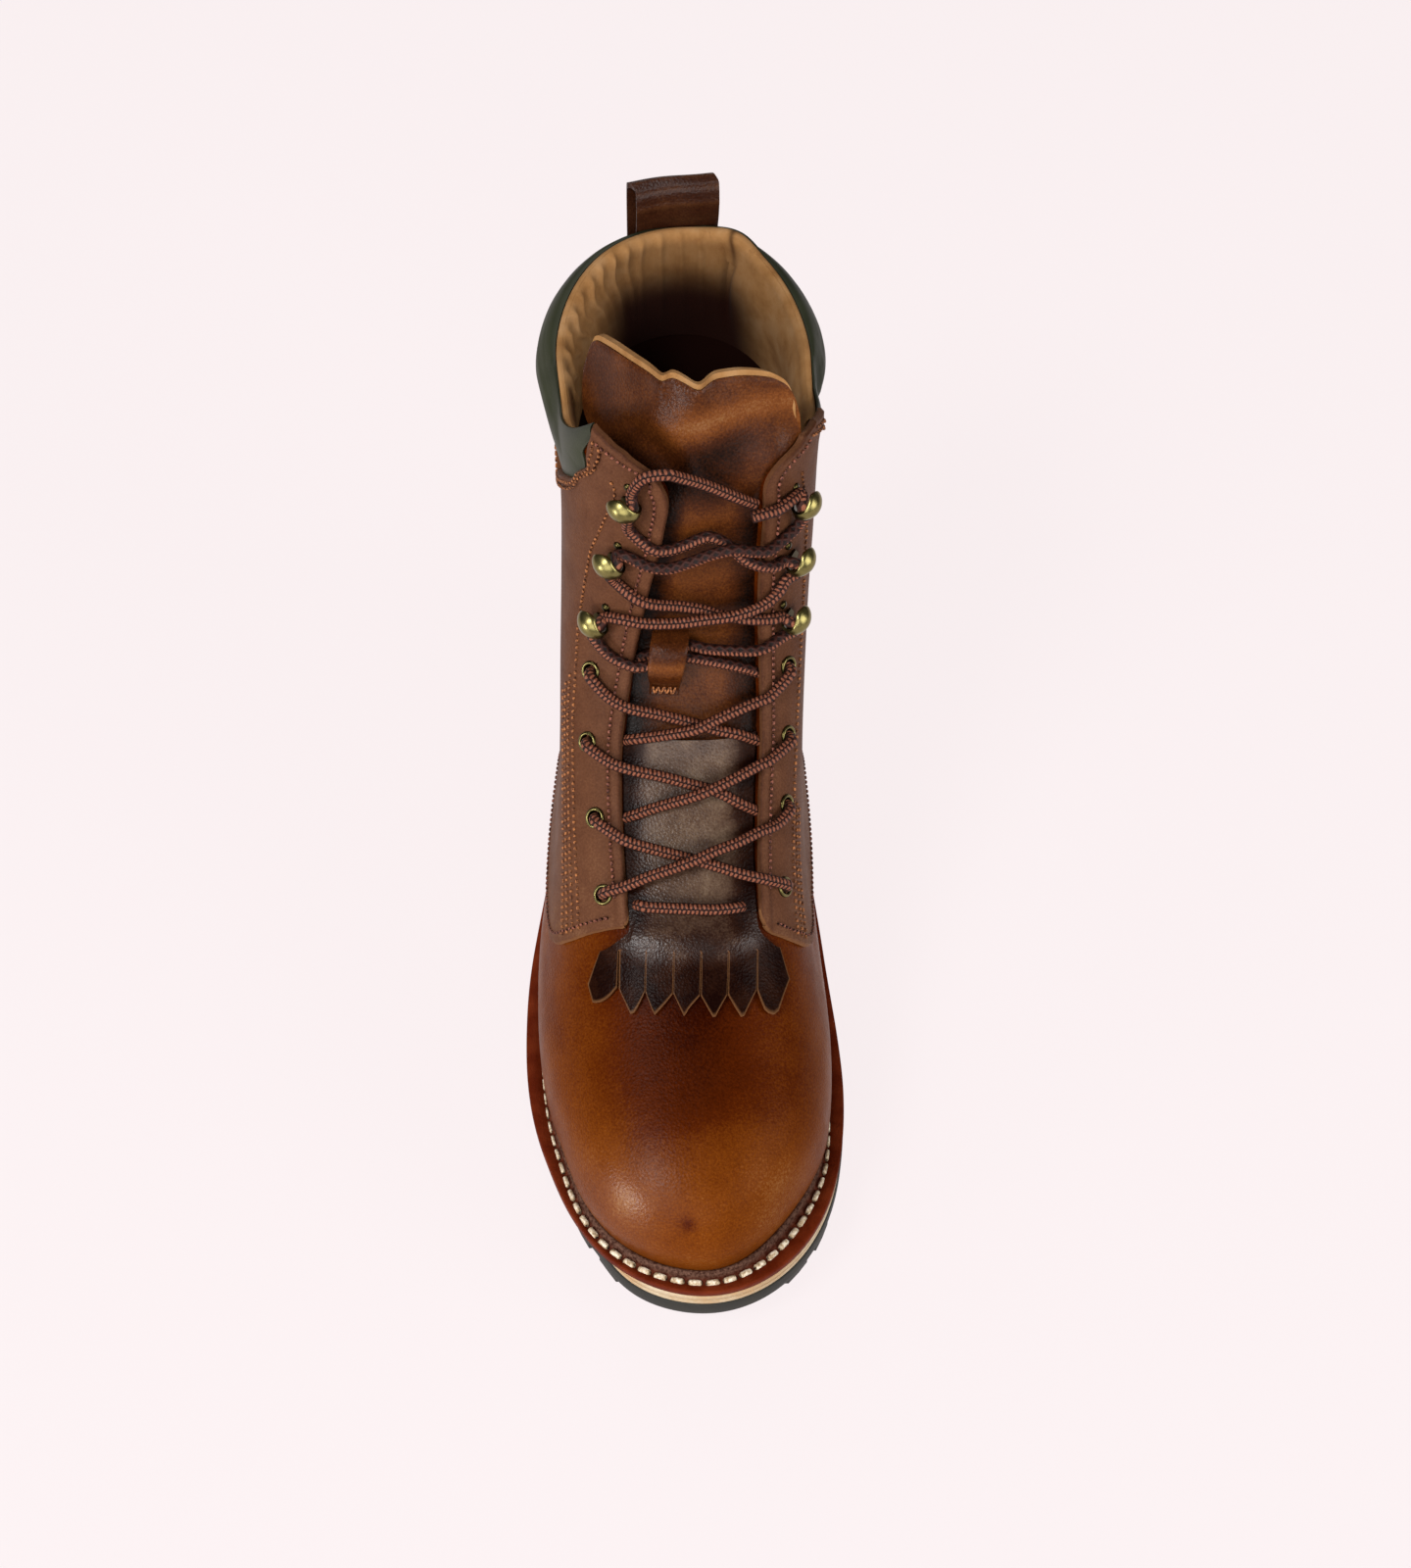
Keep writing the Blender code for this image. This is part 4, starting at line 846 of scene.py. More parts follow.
def pull_up_leather(name, colours, rough, shine, patch=24.0, drift=0.10):
    """Oiled pull-up leather, drummed: waxy, darker where oil gathers and where shade is painted, paler where
    bent and where a highlight is painted, raw where cut.
    """
    material, tree, shader, at = new_material(name)
    dull = add(tree, "Attribute", {"attribute_name": "dull"}).outputs["Fac"]
    tone = add(tree, "Attribute", {"attribute_name": "tone"}).outputs["Fac"]
    cut = add(tree, "Attribute", {"attribute_name": "cut"}).outputs["Fac"]
    polish = add(tree, "Math", {"operation": "MULTIPLY_ADD", 1: -shine, 2: shine}, {0: dull})
    cloud = add(tree, "TexNoise", {"Scale": per_mm(patch), "Detail": 5.0, "Roughness": 0.55}, at)
    cloudy = add(tree, "MapRange", {**NOISE_RANGE, "To Min": -drift, "To Max": drift}, {"Value": cloud})
    speck = add(tree, "TexNoise", {"Scale": per_mm(SPECK_SIZE), "Detail": 3.0, "Roughness": 0.7}, at)
    speckle = add(tree, "MapRange", {**NOISE_RANGE, "To Min": -0.14, "To Max": 0.14}, {"Value": speck})
    blotch = add(tree, "Math", {"operation": "ADD"}, {0: cloudy, 1: speckle})
    shade = add(tree, "Math", {"operation": "ADD"}, {0: tone, 1: blotch})
    colour = add(tree, "ValToRGB", {"stops": tuple(zip((0.0, 0.35, 0.7, 1.0), colours))}, {"Fac": shade})
    raw = add(tree, "Mix", {"data_type": "RGBA", 7: CUT_TAN}, {0: cut, 6: colour}).outputs[2]
    pebble = add(tree, "TexVoronoi", {"Scale": per_mm(PEBBLE_SIZE)}, at)
    pores = add(tree, "TexNoise", {"Scale": per_mm(PORE_SIZE), "Detail": 3.0}, at)
    relief = add(tree, "Math", {"operation": "MULTIPLY_ADD", 1: 0.6}, {0: pores, 2: pebble})
    bump = add(tree, "Bump", {"Strength": 0.34, "Distance": 0.0003}, {"Height": relief})
    wear = add(tree, "TexNoise", {"Scale": per_mm(POLISH_SIZE), "Detail": 6.0, "Roughness": 0.7}, at)
    ranged = {**NOISE_RANGE, "To Min": rough - 0.06, "To Max": rough + 0.08}
    gloss = add(tree, "MapRange", ranged, {"Value": wear})
    set_up(shader, {}, {"Base Color": raw, "Roughness": gloss, "Normal": bump, "Specular IOR Level": polish})
    return material


def shaft_push(u, v):
    """How far the top of the shaft is pressed out at its medial back corner."""
    return PUSH * np.exp(-((u - PUSH_AT) / PUSH_HALF) ** 2) * smoothstep(*PUSH_RINGS, v)


def round_place(points, place, ring, radius):
    """How near points lie to a place on the upper: 1 at it, falling away over a radius."""
    return np.exp(-(np.linalg.norm(points - skin(place, ring), axis=2) / radius) ** 2)


def clear_of_eyelets(u, v):
    """Whether cells of a sheet, given by their middles, lie outside the eyelets' holes."""
    centres = skin(u, v)
    clear = np.ones(centres.shape[:2], bool)
    for _, _, eyelet_u, eyelet_v in lace_holders("eyelet"):
        clear &= np.linalg.norm(centres - skin(eyelet_u, eyelet_v), axis=2) > EYELET_HOLE
    return clear


vamp_leather = pull_up_leather("pull_up_leather_waxed", VAMP_COLOURS, rough=0.33, shine=0.22)
upper_u = np.linspace(-1.0, 1.0, UPPER_COLUMNS, endpoint=False)
upper_v = np.arange(0.0, COLLAR_RING + UPPER_ROW / 2.0, UPPER_ROW)
upper_u, upper_v = np.meshgrid(upper_u, upper_v)
push = shaft_push(upper_u, upper_v)
upper_out = skin(upper_u, upper_v, push)
off_axis = upper_out[:, :, 0] - axis(upper_out[:, :, 1])
# Painted shade on the vamp's top, darkest along its middle
painted_top_shade = np.exp(-(off_axis / TOP_HALF) ** 2) * smoothstep(*TOP_SPAN, upper_out[:, :, 1])
tone = VAMP_TONE - TOP_DARKER * painted_top_shade * smoothstep(*TOP_RINGS, upper_v)
# A painted highlight round the lateral toe, a paler patch on the medial toe and a dark mark
for place, ring, radius, paler in MARKS_AND_HIGHLIGHT:
    tone += paler * round_place(upper_out, place, ring, radius)
dull = VAMP_DULL - VAMP_DULL * round_place(upper_out, *MARKS_AND_HIGHLIGHT[0][:2], POLISHED)
middle_u = upper_u[:-1] + 1.0 / UPPER_COLUMNS
middle_v = upper_v[:-1] + UPPER_ROW / 2.0
kept = ~((middle_v > THROAT_RING) & (np.abs(middle_u) > SLOT_U)) & clear_of_eyelets(middle_u, middle_v)
upper_inside = skin(upper_u, upper_v, push - WALL)
upper_shape = shell(upper_out, upper_inside, {"tone": tone, "dull": dull}, kept, wrap=True)
upper = boot_mesh("vamp_and_backing", vamp_leather, *upper_shape)
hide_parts("upper")


# Lining. A band of caramel suede over thin foam, rolled over the top of the shaft and gathered in upright
# pleats at the back, with one deeper crease; it is painted darker as shade down the shaft and in the crease.
# Below its seam the shaft is lined in dark brown drill, painted near black as shade.

LINING_THICK = 0.6
LINING_TOP = 14.12
LINING_SEAM = 10.4
LINING_DEEP = 4.0
LINING_SIDE = 0.70
LINING_SWELL = 1.6
SEAM_LAP = 0.1
SUEDE_ROWS = 44
SUEDE_COLUMNS = 420
DRILL_ROWS = 40
DRILL_COLUMNS = 120
SUEDE_AT = -3.3
DRILL_AT = -2.9
SUEDE_COLOURS = ("#7c552f", "#8e673f", "#9a754f")
# Dark brown of the drill, painted near black as shade deep in the shaft
SUEDE_PAINTED_SHADE = "#200a04"
DRILL_BROWN_AND_SHADE = "#1a0703"
# Rolled top of the lining, outside to inside: ring, height
LINING_ROLL = np.array(((13.80, 0.35), (13.95, 0.35), (14.06, 0.1), (14.11, -0.6), (LINING_TOP, -1.5),
                        (14.08, -2.4), (13.98, -3.1)))
# Ring at which the roll meets the inside, heights over which the pleats begin, lowest height of its outside
ROLL_FOOT = 13.88
ROLL_SPAN = (-1.8, -3.0)
ROLL_OUTSIDE = -1.6
# Pleats of the lining, the last of them the crease: place, lean, half width, depth
PLEATS = (
    (-0.50, 0.050, 0.012, 1.3),
    (-0.44, 0.045, 0.012, 1.6),
    (-0.385, 0.045, 0.011, 1.3),
    (-0.335, 0.040, 0.010, 1.7),
    (-0.29, 0.032, 0.010, 1.3),
    (-0.245, 0.026, 0.010, 1.8),
    (-0.205, 0.020, 0.009, 1.4),
    (-0.165, 0.012, 0.008, 1.8),
    (-0.125, 0.008, 0.009, 1.5),
    (-0.085, 0.0, 0.008, 1.0),
    (-0.04, 0.0, 0.008, 1.2),
    (0.005, 0.0, 0.008, 0.8),
    (0.05, 0.0, 0.008, 0.9),
    (0.122, -0.006, 0.011, -3.0),
)
PLEATED_TO = 12.6
# Painted shade from the top down: how much, and over which rings it comes in
PAINTED_SHADE_BANDS = ((0.42, 14.0, 13.5), (0.58, 12.9, 11.4))
# The sides get less painted shade: by how much, and over which places
SIDES_LESS_SHADED = 0.9
LESS_SHADED_SPAN = (0.11, 0.25)
# Shade in the crease: how dark, half width, over which rings
CREASE_DARKER = 0.7
CREASE_HALF = 0.006
CREASE_RINGS = (12.0, 13.6)


def suede(name, colours):
    """Suede, sanded: short matt nap that catches light at a slant, painted dark as shade down the shaft and
    in the crease.
    """
    material, tree, shader, at = new_material(name)
    soiled = add(tree, "Attribute", {"attribute_name": "soiled"}).outputs["Fac"]
    cloud = add(tree, "TexNoise", {"Scale": per_mm(10.0), "Detail": 5.0, "Roughness": 0.6}, at)
    colour = add(tree, "ValToRGB", {"stops": tuple(zip((0.3, 0.5, 0.7), colours))}, {"Fac": cloud})
    # The suede's colour mixed towards the painted shade
    worn = add(tree, "Mix", {"data_type": "RGBA", 7: SUEDE_PAINTED_SHADE}, {0: soiled, 6: colour}).outputs[2]
    nap = add(tree, "TexNoise", {"Scale": per_mm(0.5), "Detail": 4.0}, at)
    bump = add(tree, "Bump", {"Strength": 0.4, "Distance": 0.0003}, {"Height": nap})
    matt = {"Roughness": 0.9, "Specular IOR Level": 0.06, "Sheen Weight": 0.02, "Sheen Roughness": 0.5}
    set_up(shader, matt, {"Base Color": worn, "Normal": bump})
    return material


def cotton_drill():
    """Cotton drill, woven and dyed: dark brown and matt, painted near black as shade deep in the shaft, where
    its weave would not show.
    """
    material, tree, shader, at = new_material("cotton_drill_dyed")
    set_up(shader, {"Base Color": DRILL_BROWN_AND_SHADE, "Roughness": 0.9, "Specular IOR Level": 0.06}, {})
    return material


def lining_sheet(rings, heights, columns):
    """A thin sheet inside the shaft, pleated at the back: points, faces and its painted shade."""
    u, v = np.meshgrid(np.linspace(-LINING_SIDE, LINING_SIDE, columns), rings)
    heights = heights[:, None]
    pleat = np.zeros_like(u)
    for place, lean, half_width, depth in PLEATS:
        pleat += depth * np.exp(-((u - place - lean * (COLLAR_RING - v)) / half_width) ** 2)
    pleat *= smoothstep(*ROLL_SPAN, heights) * smoothstep(LINING_SEAM, PLEATED_TO, v)
    way_up = np.clip((v - LINING_SEAM) / (COLLAR_RING - LINING_SEAM), 0.0, 1.0)
    swell = LINING_SWELL * np.sin(math.pi * way_up)
    heights = heights + shaft_push(u, v)
    face = skin(u, v, heights - pleat - swell)
    back = np.where(heights > ROLL_OUTSIDE, heights - LINING_THICK / 2.0, heights + LINING_THICK)
    # Painted shade: darker down the shaft, less at the sides, deepest in the crease
    soiled = sum(amount * smoothstep(first, last, v) for amount, first, last in PAINTED_SHADE_BANDS)
    soiled *= 1.0 - SIDES_LESS_SHADED * smoothstep(*LESS_SHADED_SPAN, np.abs(u))
    crease = np.exp(-((u - PLEATS[-1][0]) / CREASE_HALF) ** 2) * smoothstep(*CREASE_RINGS, v)
    soiled += CREASE_DARKER * crease * (1.0 - soiled)
    return shell(face, skin(u, v, back), {"soiled": soiled})


caramel_suede = suede("suede_sanded_caramel", SUEDE_COLOURS)
inner_rings = np.linspace(ROLL_FOOT, LINING_SEAM, SUEDE_ROWS)
suede_rings = np.concatenate((LINING_ROLL[:, 0], inner_rings))
suede_heights = np.concatenate((LINING_ROLL[:, 1], np.full(SUEDE_ROWS, SUEDE_AT)))
shape = lining_sheet(suede_rings, suede_heights, SUEDE_COLUMNS)
lining = boot_mesh("collar_lining", caramel_suede, *shape)
drill_rings = np.linspace(LINING_SEAM + SEAM_LAP, LINING_DEEP, DRILL_ROWS)
shape = lining_sheet(drill_rings, np.full(DRILL_ROWS, DRILL_AT), DRILL_COLUMNS)
shaft_lining = boot_mesh("shaft_lining", cotton_drill(), *shape[:2])


# Quarters. Two outer panels of the same pull-up leather, laid over the vamp and the backing; their
# edges are folded and glued double, then sewn down with rows of brown and of orange thread.

SIDE_NAMES = {-1: "lateral", 1: "medial"}
QUARTER_SEAT = 0.45
QUARTER_THICK = 1.7
QUARTER_FACE = QUARTER_SEAT + QUARTER_THICK
BACK_SEAM = 0.0015
QUARTER_COLUMNS = 150
QUARTER_ROWS = 110
# Rings tried for the lower edge, columns over which it is evened out, rings where the throat is measured
RINGS_TRIED = 561
EVENED = 5
RINGS_MEASURED = 121
FOLD_WIDE = 5.0
FOLD_RISE = 0.8
# Rounded edge of the panels: radius, thickness left at the very edge, closer columns and rows that draw it
EDGE_ROUND = 0.9
EDGE_THICK = 0.55
EDGE_COLUMNS = np.array((0.009, 0.0045, 0.0015))
EDGE_ROWS = np.array((0.0, 0.004, 0.010))
ROWS_FROM = 0.02
# Rounding of the corner between throat and lower edge, on each side
CORNER_ROUND = {-1: 3.0, 1: 7.0}
QUARTER_COLOURS = ("#251009", "#452718", "#593724", "#735137")
# Tone of the quarters, and how it differs: darker along the throat's stitches, painted shade at the throat's
# lip, paler low down
QUARTER_TONE = 0.58
ROW_DARKER = 0.20
ROW_HALF = 0.9
LIP_DARKER = 0.30
LIP_SPAN = (1.3, 0.3)
LOW_PALER = 0.10
LOW_RINGS = (9.0, 6.0)
# Raw leather at the cut lower edge and at the folded edges, and how wide it shows
RAW_BELOW = 0.8
RAW_FOLDED = 0.2
RAW_WIDE = 0.25
THREAD_BROWN = "#8a5240"
THREAD_BROWN_SHADE = "#34170e"
THREAD_ORANGE = "#a7693c"
THREAD_ORANGE_SHADE = "#4b2815"
STITCH_LONG = 1.5
STITCH_GAP = 0.7
STITCH_THICK = 1.0
# Rows of stitches along the throat, the lower edge and the upper edge: distance from the edge
THROAT_ROW = 4.2
LOW_ROW = 3.8
TOP_ROWS = (2.0, 4.2)
# Where those rows end: rings short of the throat's ends, shares of the way along the other two edges
THROAT_SHORT = (0.17, 0.3)
LOW_ENDS = (0.10, 0.97)
TOP_ENDS = (0.02, 0.97)
# Share of the way along the lower edge over which its row climbs on to the throat's fold
FOLD_CLIMB = (0.93, 0.965)
SEAM_SHORT = 0.1
ROW_POINTS = 240
LOW_POINTS = 320
TOP_POINTS = 220

# Front and lower edge of the quarters in side view: from heel, up
QUARTER_EDGE = np.array(((84, 15), (88, 42), (98, 55), (112, 62.5), (176, 67), (187, 69.0), (194, 72),
                         (197.5, 76.5), (200, 83), (202.8, 93.4), (205, 104)), dtype=float)
# Upper edge of each quarter, along the collar and up its front end: place, ring
QUARTER_TOP = {
    -1: np.array(((0.0, 11.5), (0.5, 11.5), (0.56, 12.0), (0.61, 12.6), (0.637, 13.16), (0.67, 13.5),
                  (0.72, 14.0), (0.80, 14.55))),
    1: np.array(((0.0, 11.5), (0.42, 11.5), (0.47, 12.0), (0.50, 13.0), (0.60, 13.8), (0.694, 14.25),
                 (0.80, 14.3))),
}
# Throat edge of each quarter, which folds open at the top: ring, place
THROAT_EDGE = {
    -1: np.array(((0.0, 0.80), (13.0, 0.80), (13.48, 0.84), (13.97, 0.85), (14.3, 0.825), (14.6, 0.785))),
    1: np.array(((0.0, 0.80), (12.6, 0.80), (13.5, 0.815), (14.1, 0.81), (14.3, 0.76))),
}
# Side seam of each quarter, well back from the throat: ring, place
SIDE_SEAM = np.array(((6.0, 0.718), (7.84, 0.711), (9.32, 0.703), (10.09, 0.691), (11.45, 0.686),
                      (13.4, 0.725)))
# Rows of that seam: how far behind the first, and the ring they end at, on each side
SEAM_ROWS = {-1: ((0.0, 13.2), (0.018, 9.4), (0.034, 9.2), (0.050, 9.0)),
             1: ((0.0, 13.0), (0.018, 7.7), (0.034, 7.5))}

SLOT_RINGS = np.linspace(0.0, TOP_RING, RINGS_MEASURED)
SLOT_RUNS = {side: np.array([ring_line(v, side)[2] for v in SLOT_RINGS]) for side in SIDE_NAMES}


def lower_ring(side, places):
    """Ring at which each place of a quarter meets its front and lower edge."""
    rings = np.linspace(0.0, COLLAR_RING, RINGS_TRIED)
    found = []
    for place in places:
        column = skin(side * place, rings)
        ahead = column[:, 1] > np.interp(column[:, 2], QUARTER_EDGE[:, 1], QUARTER_EDGE[:, 0])
        found.append(rings[np.nonzero(ahead)[0][-1]] if ahead.any() else 0.0)
    return np.array(found)


def ring_pitch(u, v):
    """Millimetres from one ring to the next, at places on the boot."""
    return np.linalg.norm(skin(u, v + 0.1) - skin(u, v - 0.1), axis=-1) / 0.2


def quarter_place(side, share, v):
    """Place of a share of the way from the back seam to the throat's edge."""
    return side * share * np.interp(v, *THROAT_EDGE[side].T)


def throat_run(side, v):
    """How far the throat's edge lies from the back seam, round a ring."""
    return np.interp(v, SLOT_RINGS, SLOT_RUNS[side])


def surface_line(u, v, height):
    """A line on the boot and the directions that point out of it."""
    line = skin(u, v, height)
    return line, skin(u, v, height + 1.0) - line


def seam(u, v, height):
    """One row of the quarters' stitches along a line on the boot."""
    return stitch_row(*surface_line(u, v, height), STITCH_LONG, STITCH_GAP, STITCH_THICK)


quarter_leather = pull_up_leather("pull_up_leather_quarter", QUARTER_COLOURS, rough=0.52, shine=0.06,
                                  patch=9.0, drift=0.11)
brown_thread = waxed_thread("waxed_thread_brown", THREAD_BROWN, THREAD_BROWN_SHADE, 0.8)
orange_thread = waxed_thread("waxed_thread_orange", THREAD_ORANGE, THREAD_ORANGE_SHADE, 0.8)

for side, side_name in SIDE_NAMES.items():
    share = np.linspace(BACK_SEAM / SLOT_U, 1.0, QUARTER_COLUMNS)
    share = np.concatenate((share[:-1], 1.0 - EDGE_COLUMNS, share[-1:]))
    columns = share * SLOT_U
    low = lower_ring(side, columns)
    low = np.convolve(np.pad(low, EVENED // 2, mode="edge"), np.ones(EVENED) / EVENED, mode="valid")
    radius = CORNER_ROUND[side]
    short = radius - np.clip((1.0 - share) * throat_run(side, low), 0.0, radius)
    low += (radius - np.sqrt(radius ** 2 - short ** 2)) / ring_pitch(side * columns, low)
    high = np.interp(columns, *QUARTER_TOP[side].T)
    up = np.linspace(ROWS_FROM, 1.0 - ROWS_FROM, QUARTER_ROWS)
    up = np.concatenate((EDGE_ROWS, up, 1.0 - EDGE_ROWS[::-1]))[:, None]
    v = low + (high - low) * up
    share = np.broadcast_to(share, v.shape)
    u = quarter_place(side, share, v)
    pitch = ring_pitch(u, v)
    from_throat = (1.0 - share) * throat_run(side, v)
    from_low = (v - low) * pitch
    from_fold = np.minimum(from_throat, (high - v) * pitch)
    inside = np.minimum(from_fold, from_low)
    rise = FOLD_RISE * (1.0 - smoothstep(FOLD_WIDE - 1.0, FOLD_WIDE, from_fold))
    rounded = np.sqrt(np.clip(1.0 - (1.0 - np.clip(inside / EDGE_ROUND, 0.0, 1.0)) ** 2, 0.0, 1.0))
    height = QUARTER_SEAT + EDGE_THICK + (QUARTER_THICK - EDGE_THICK) * rounded + rise
    tone = QUARTER_TONE - ROW_DARKER * np.exp(-((from_throat - THROAT_ROW) / ROW_HALF) ** 2)
    # Painted shade along the throat's lip
    tone -= LIP_DARKER * smoothstep(*LIP_SPAN, from_throat)
    tone += LOW_PALER * smoothstep(*LOW_RINGS, v)
    cut = RAW_BELOW * smoothstep(RAW_WIDE, 0.0, from_low) + RAW_FOLDED * smoothstep(RAW_WIDE, 0.0, from_fold)
    kept = clear_of_eyelets((u[:-1, :-1] + u[1:, 1:]) / 2.0, (v[:-1, :-1] + v[1:, 1:]) / 2.0)
    shape = shell(skin(u, v, height), skin(u, v, QUARTER_SEAT), {"tone": tone, "cut": cut}, kept)
    quarter = boot_mesh("quarter_panel_" + side_name, quarter_leather, *shape)
    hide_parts("quarter_" + side_name)

    ring = np.linspace(low[-1] + THROAT_SHORT[0], high[-1] - THROAT_SHORT[1], ROW_POINTS)
    place = quarter_place(side, 1.0 - THROAT_ROW / throat_run(side, ring), ring)
    rows = [seam(place, ring, QUARTER_FACE + FOLD_RISE)]
    edge_share = np.linspace(*LOW_ENDS, LOW_POINTS)
    place = side * edge_share * SLOT_U
    edge_low = np.interp(edge_share, share[0], low)
    rise = FOLD_RISE * smoothstep(*FOLD_CLIMB, edge_share)
    rows.append(seam(place, edge_low + LOW_ROW / ring_pitch(place, edge_low), QUARTER_FACE + rise))
    brown_rows = sewn("throat_stitches_" + side_name, rows, brown_thread)

    rows = []
    for behind, last in SEAM_ROWS[side]:
        first = np.interp((SIDE_SEAM[0, 1] - behind) / SLOT_U, share[0], low) + SEAM_SHORT
        ring = np.linspace(first, last, ROW_POINTS)
        rows.append(seam(side * (np.interp(ring, *SIDE_SEAM.T) - behind), ring, QUARTER_FACE))
    edge_share = np.linspace(*TOP_ENDS, TOP_POINTS)
    edge_high = np.interp(edge_share, share[0], high)
    for distance in TOP_ROWS:
        ring = edge_high - distance / ring_pitch(side * edge_share * SLOT_U, edge_high)
        rows.append(seam(quarter_place(side, edge_share, ring), ring, QUARTER_FACE + FOLD_RISE))
    orange_rows = sewn("quarter_stitches_" + side_name, rows, orange_thread)


# Collar. A padded band round the top of the shaft, foam under smooth grey-green leathercloth; its lower
# edge is tucked under the quarters, and its front ends are cut on a slant.

COLLAR_COLUMNS = 260
COLLAR_ROWS = 40
COLLAR_TUCK = 0.18
PAD_THICK = 7.0
PAD_BACK_SHARE = 0.62
PAD_FULL_FROM = 0.28
PAD_EDGE = 1.2
# The padding thins out towards the front, and where the band is narrower than so many rings
PAD_FADE = (0.34, 0.64)
PAD_NARROW = 2.5
LEAST_BAND = 0.06
# Heights over the upper: the band's back, its least face, and the foot of its padding
BAND_BACK = 0.4
BAND_FACE = 1.0
PAD_FOOT = 0.75
CLOTH_GREEN = "#2c2e1f"
CLOTH_DARK = "#1b1e12"
# Section of the pad: share of the way up the band, share of its thickness
PAD_SECTION = np.array(((0.0, 0.0), (0.06, 0.16), (0.14, 0.40), (0.28, 0.70), (0.45, 0.93), (0.60, 1.0),
                        (0.75, 0.92), (0.88, 0.68), (0.96, 0.42), (1.0, 0.16)))
# Top edge of the band: place, ring
COLLAR_TOP = np.array(((-0.80, 14.62), (-0.72, 14.35), (-0.60, 14.08), (0.0, 14.04), (0.55, 14.06),
                       (0.70, 14.28)))
COLLAR_ENDS = (-0.785, 0.69)


def leathercloth():
    """Coated fabric, calendered: dull grey-green skin with a very fine grain and a soft broad shine."""
    material, tree, shader, at = new_material("leathercloth_calendered")
    cloud = add(tree, "TexNoise", {"Scale": per_mm(26.0), "Detail": 4.0}, at)
    colour = add(tree, "ValToRGB", {"stops": ((0.3, CLOTH_DARK), (0.62, CLOTH_GREEN))}, {"Fac": cloud})
    grain = add(tree, "TexVoronoi", {"Scale": per_mm(0.7)}, at)
    bump = add(tree, "Bump", {"Strength": 0.15, "Distance": 0.0002}, {"Height": grain})
    set_up(shader, {"Roughness": 0.5, "Specular IOR Level": 0.2}, {"Base Color": colour, "Normal": bump})
    return material


collar_u = np.linspace(*COLLAR_ENDS, COLLAR_COLUMNS)
tops = {side: np.interp(side * collar_u, *QUARTER_TOP[side].T) for side in SIDE_NAMES}
collar_low = np.where(collar_u < 0, tops[-1], tops[1]) - COLLAR_TUCK
collar_high = np.maximum(np.interp(collar_u, *COLLAR_TOP.T), collar_low + LEAST_BAND)
up = np.linspace(0.0, 1.0, COLLAR_ROWS)[:, None]
collar_v = collar_low + (collar_high - collar_low) * up
full = PAD_BACK_SHARE + (1.0 - PAD_BACK_SHARE) * smoothstep(0.0, PAD_FULL_FROM, np.abs(collar_u))
wide = np.clip((collar_high - collar_low) / PAD_NARROW, 0.0, 1.0)
fade = 1.0 - smoothstep(*PAD_FADE, np.abs(collar_u))
thick = np.maximum(PAD_THICK * full * fade * wide, PAD_EDGE)
collar_h = PAD_FOOT + thick * np.interp(up, *PAD_SECTION.T)
push = shaft_push(collar_u, collar_v)
collar_u = np.broadcast_to(collar_u, collar_v.shape)
collar_face = skin(collar_u, collar_v, np.maximum(collar_h, BAND_FACE + push))
shape = shell(collar_face, skin(collar_u, collar_v, BAND_BACK + push))
collar = boot_mesh("collar_pad", leathercloth(), *shape)
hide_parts("collar")


# Tongue. A wide sheet of glossy pull-up leather, glued over a backing of caramel suede; the suede's cut
# edge stands out past the leather as a pale lip along the wavy top.

TONGUE_FACE = -2.5
TONGUE_SPLIT = -4.0
# Face and back of the suede behind the leather
BACKING_FACE = -4.05
BACKING_BACK = -6.1
TONGUE_FROM = 6.5
TONGUE_BEND = 0.60
TONGUE_CURL = 0.90
TONGUE_LIP = 2.0
TONGUE_COLUMNS = 120
TONGUE_ROWS = 120
# Rounding of the top edge: depth, and the shares of the way up at which it begins and is drawn
LIP_ROUND = 0.5
LIP_FROM = 0.985
LIP_ROWS = (0.993, 1.0)
# Points along the top edge, and how many of them are evened out for its run and for its waves
LIP_POINTS = 401
LIP_EVENED = 121
LIP_WAVES = 33
TONGUE_COLOURS = ("#0f0401", "#3a1a08", "#633513", "#7c5734")
# Tone of the tongue, and a painted highlight along a fold slanting over it: slope, share of the way up, half
# width, its end
TONGUE_TONE = 0.42
BRIGHT_PALER = 0.30
BRIGHT_SLOPE = 0.33
BRIGHT_AT = 0.893
BRIGHT_HALF = 0.028
BRIGHT_END = (-0.14, -0.03)
# Shadow below that fold: how dark, its upper and lower limits, its end
SHADOW_DARKER = 0.34
SHADOW_TOP = (0.865, 0.80)
SHADOW_FOOT = (0.66, 0.74)
SHADOW_END = (0.16, 0.04)
# The lateral end is painted darker as shade, the middle under the laces is paler, and the sides under the
# quarters are painted dark as their shade
END_DARKER = 0.06
END_SPAN = (-0.12, -0.22)
MIDDLE_PALER = 0.05
MIDDLE_SPAN = (0.74, 0.66)
COVERED_DARKER = 0.40
COVERED_SPAN = (0.08, 0.18)
COVERED_BELOW = (0.76, 0.66)
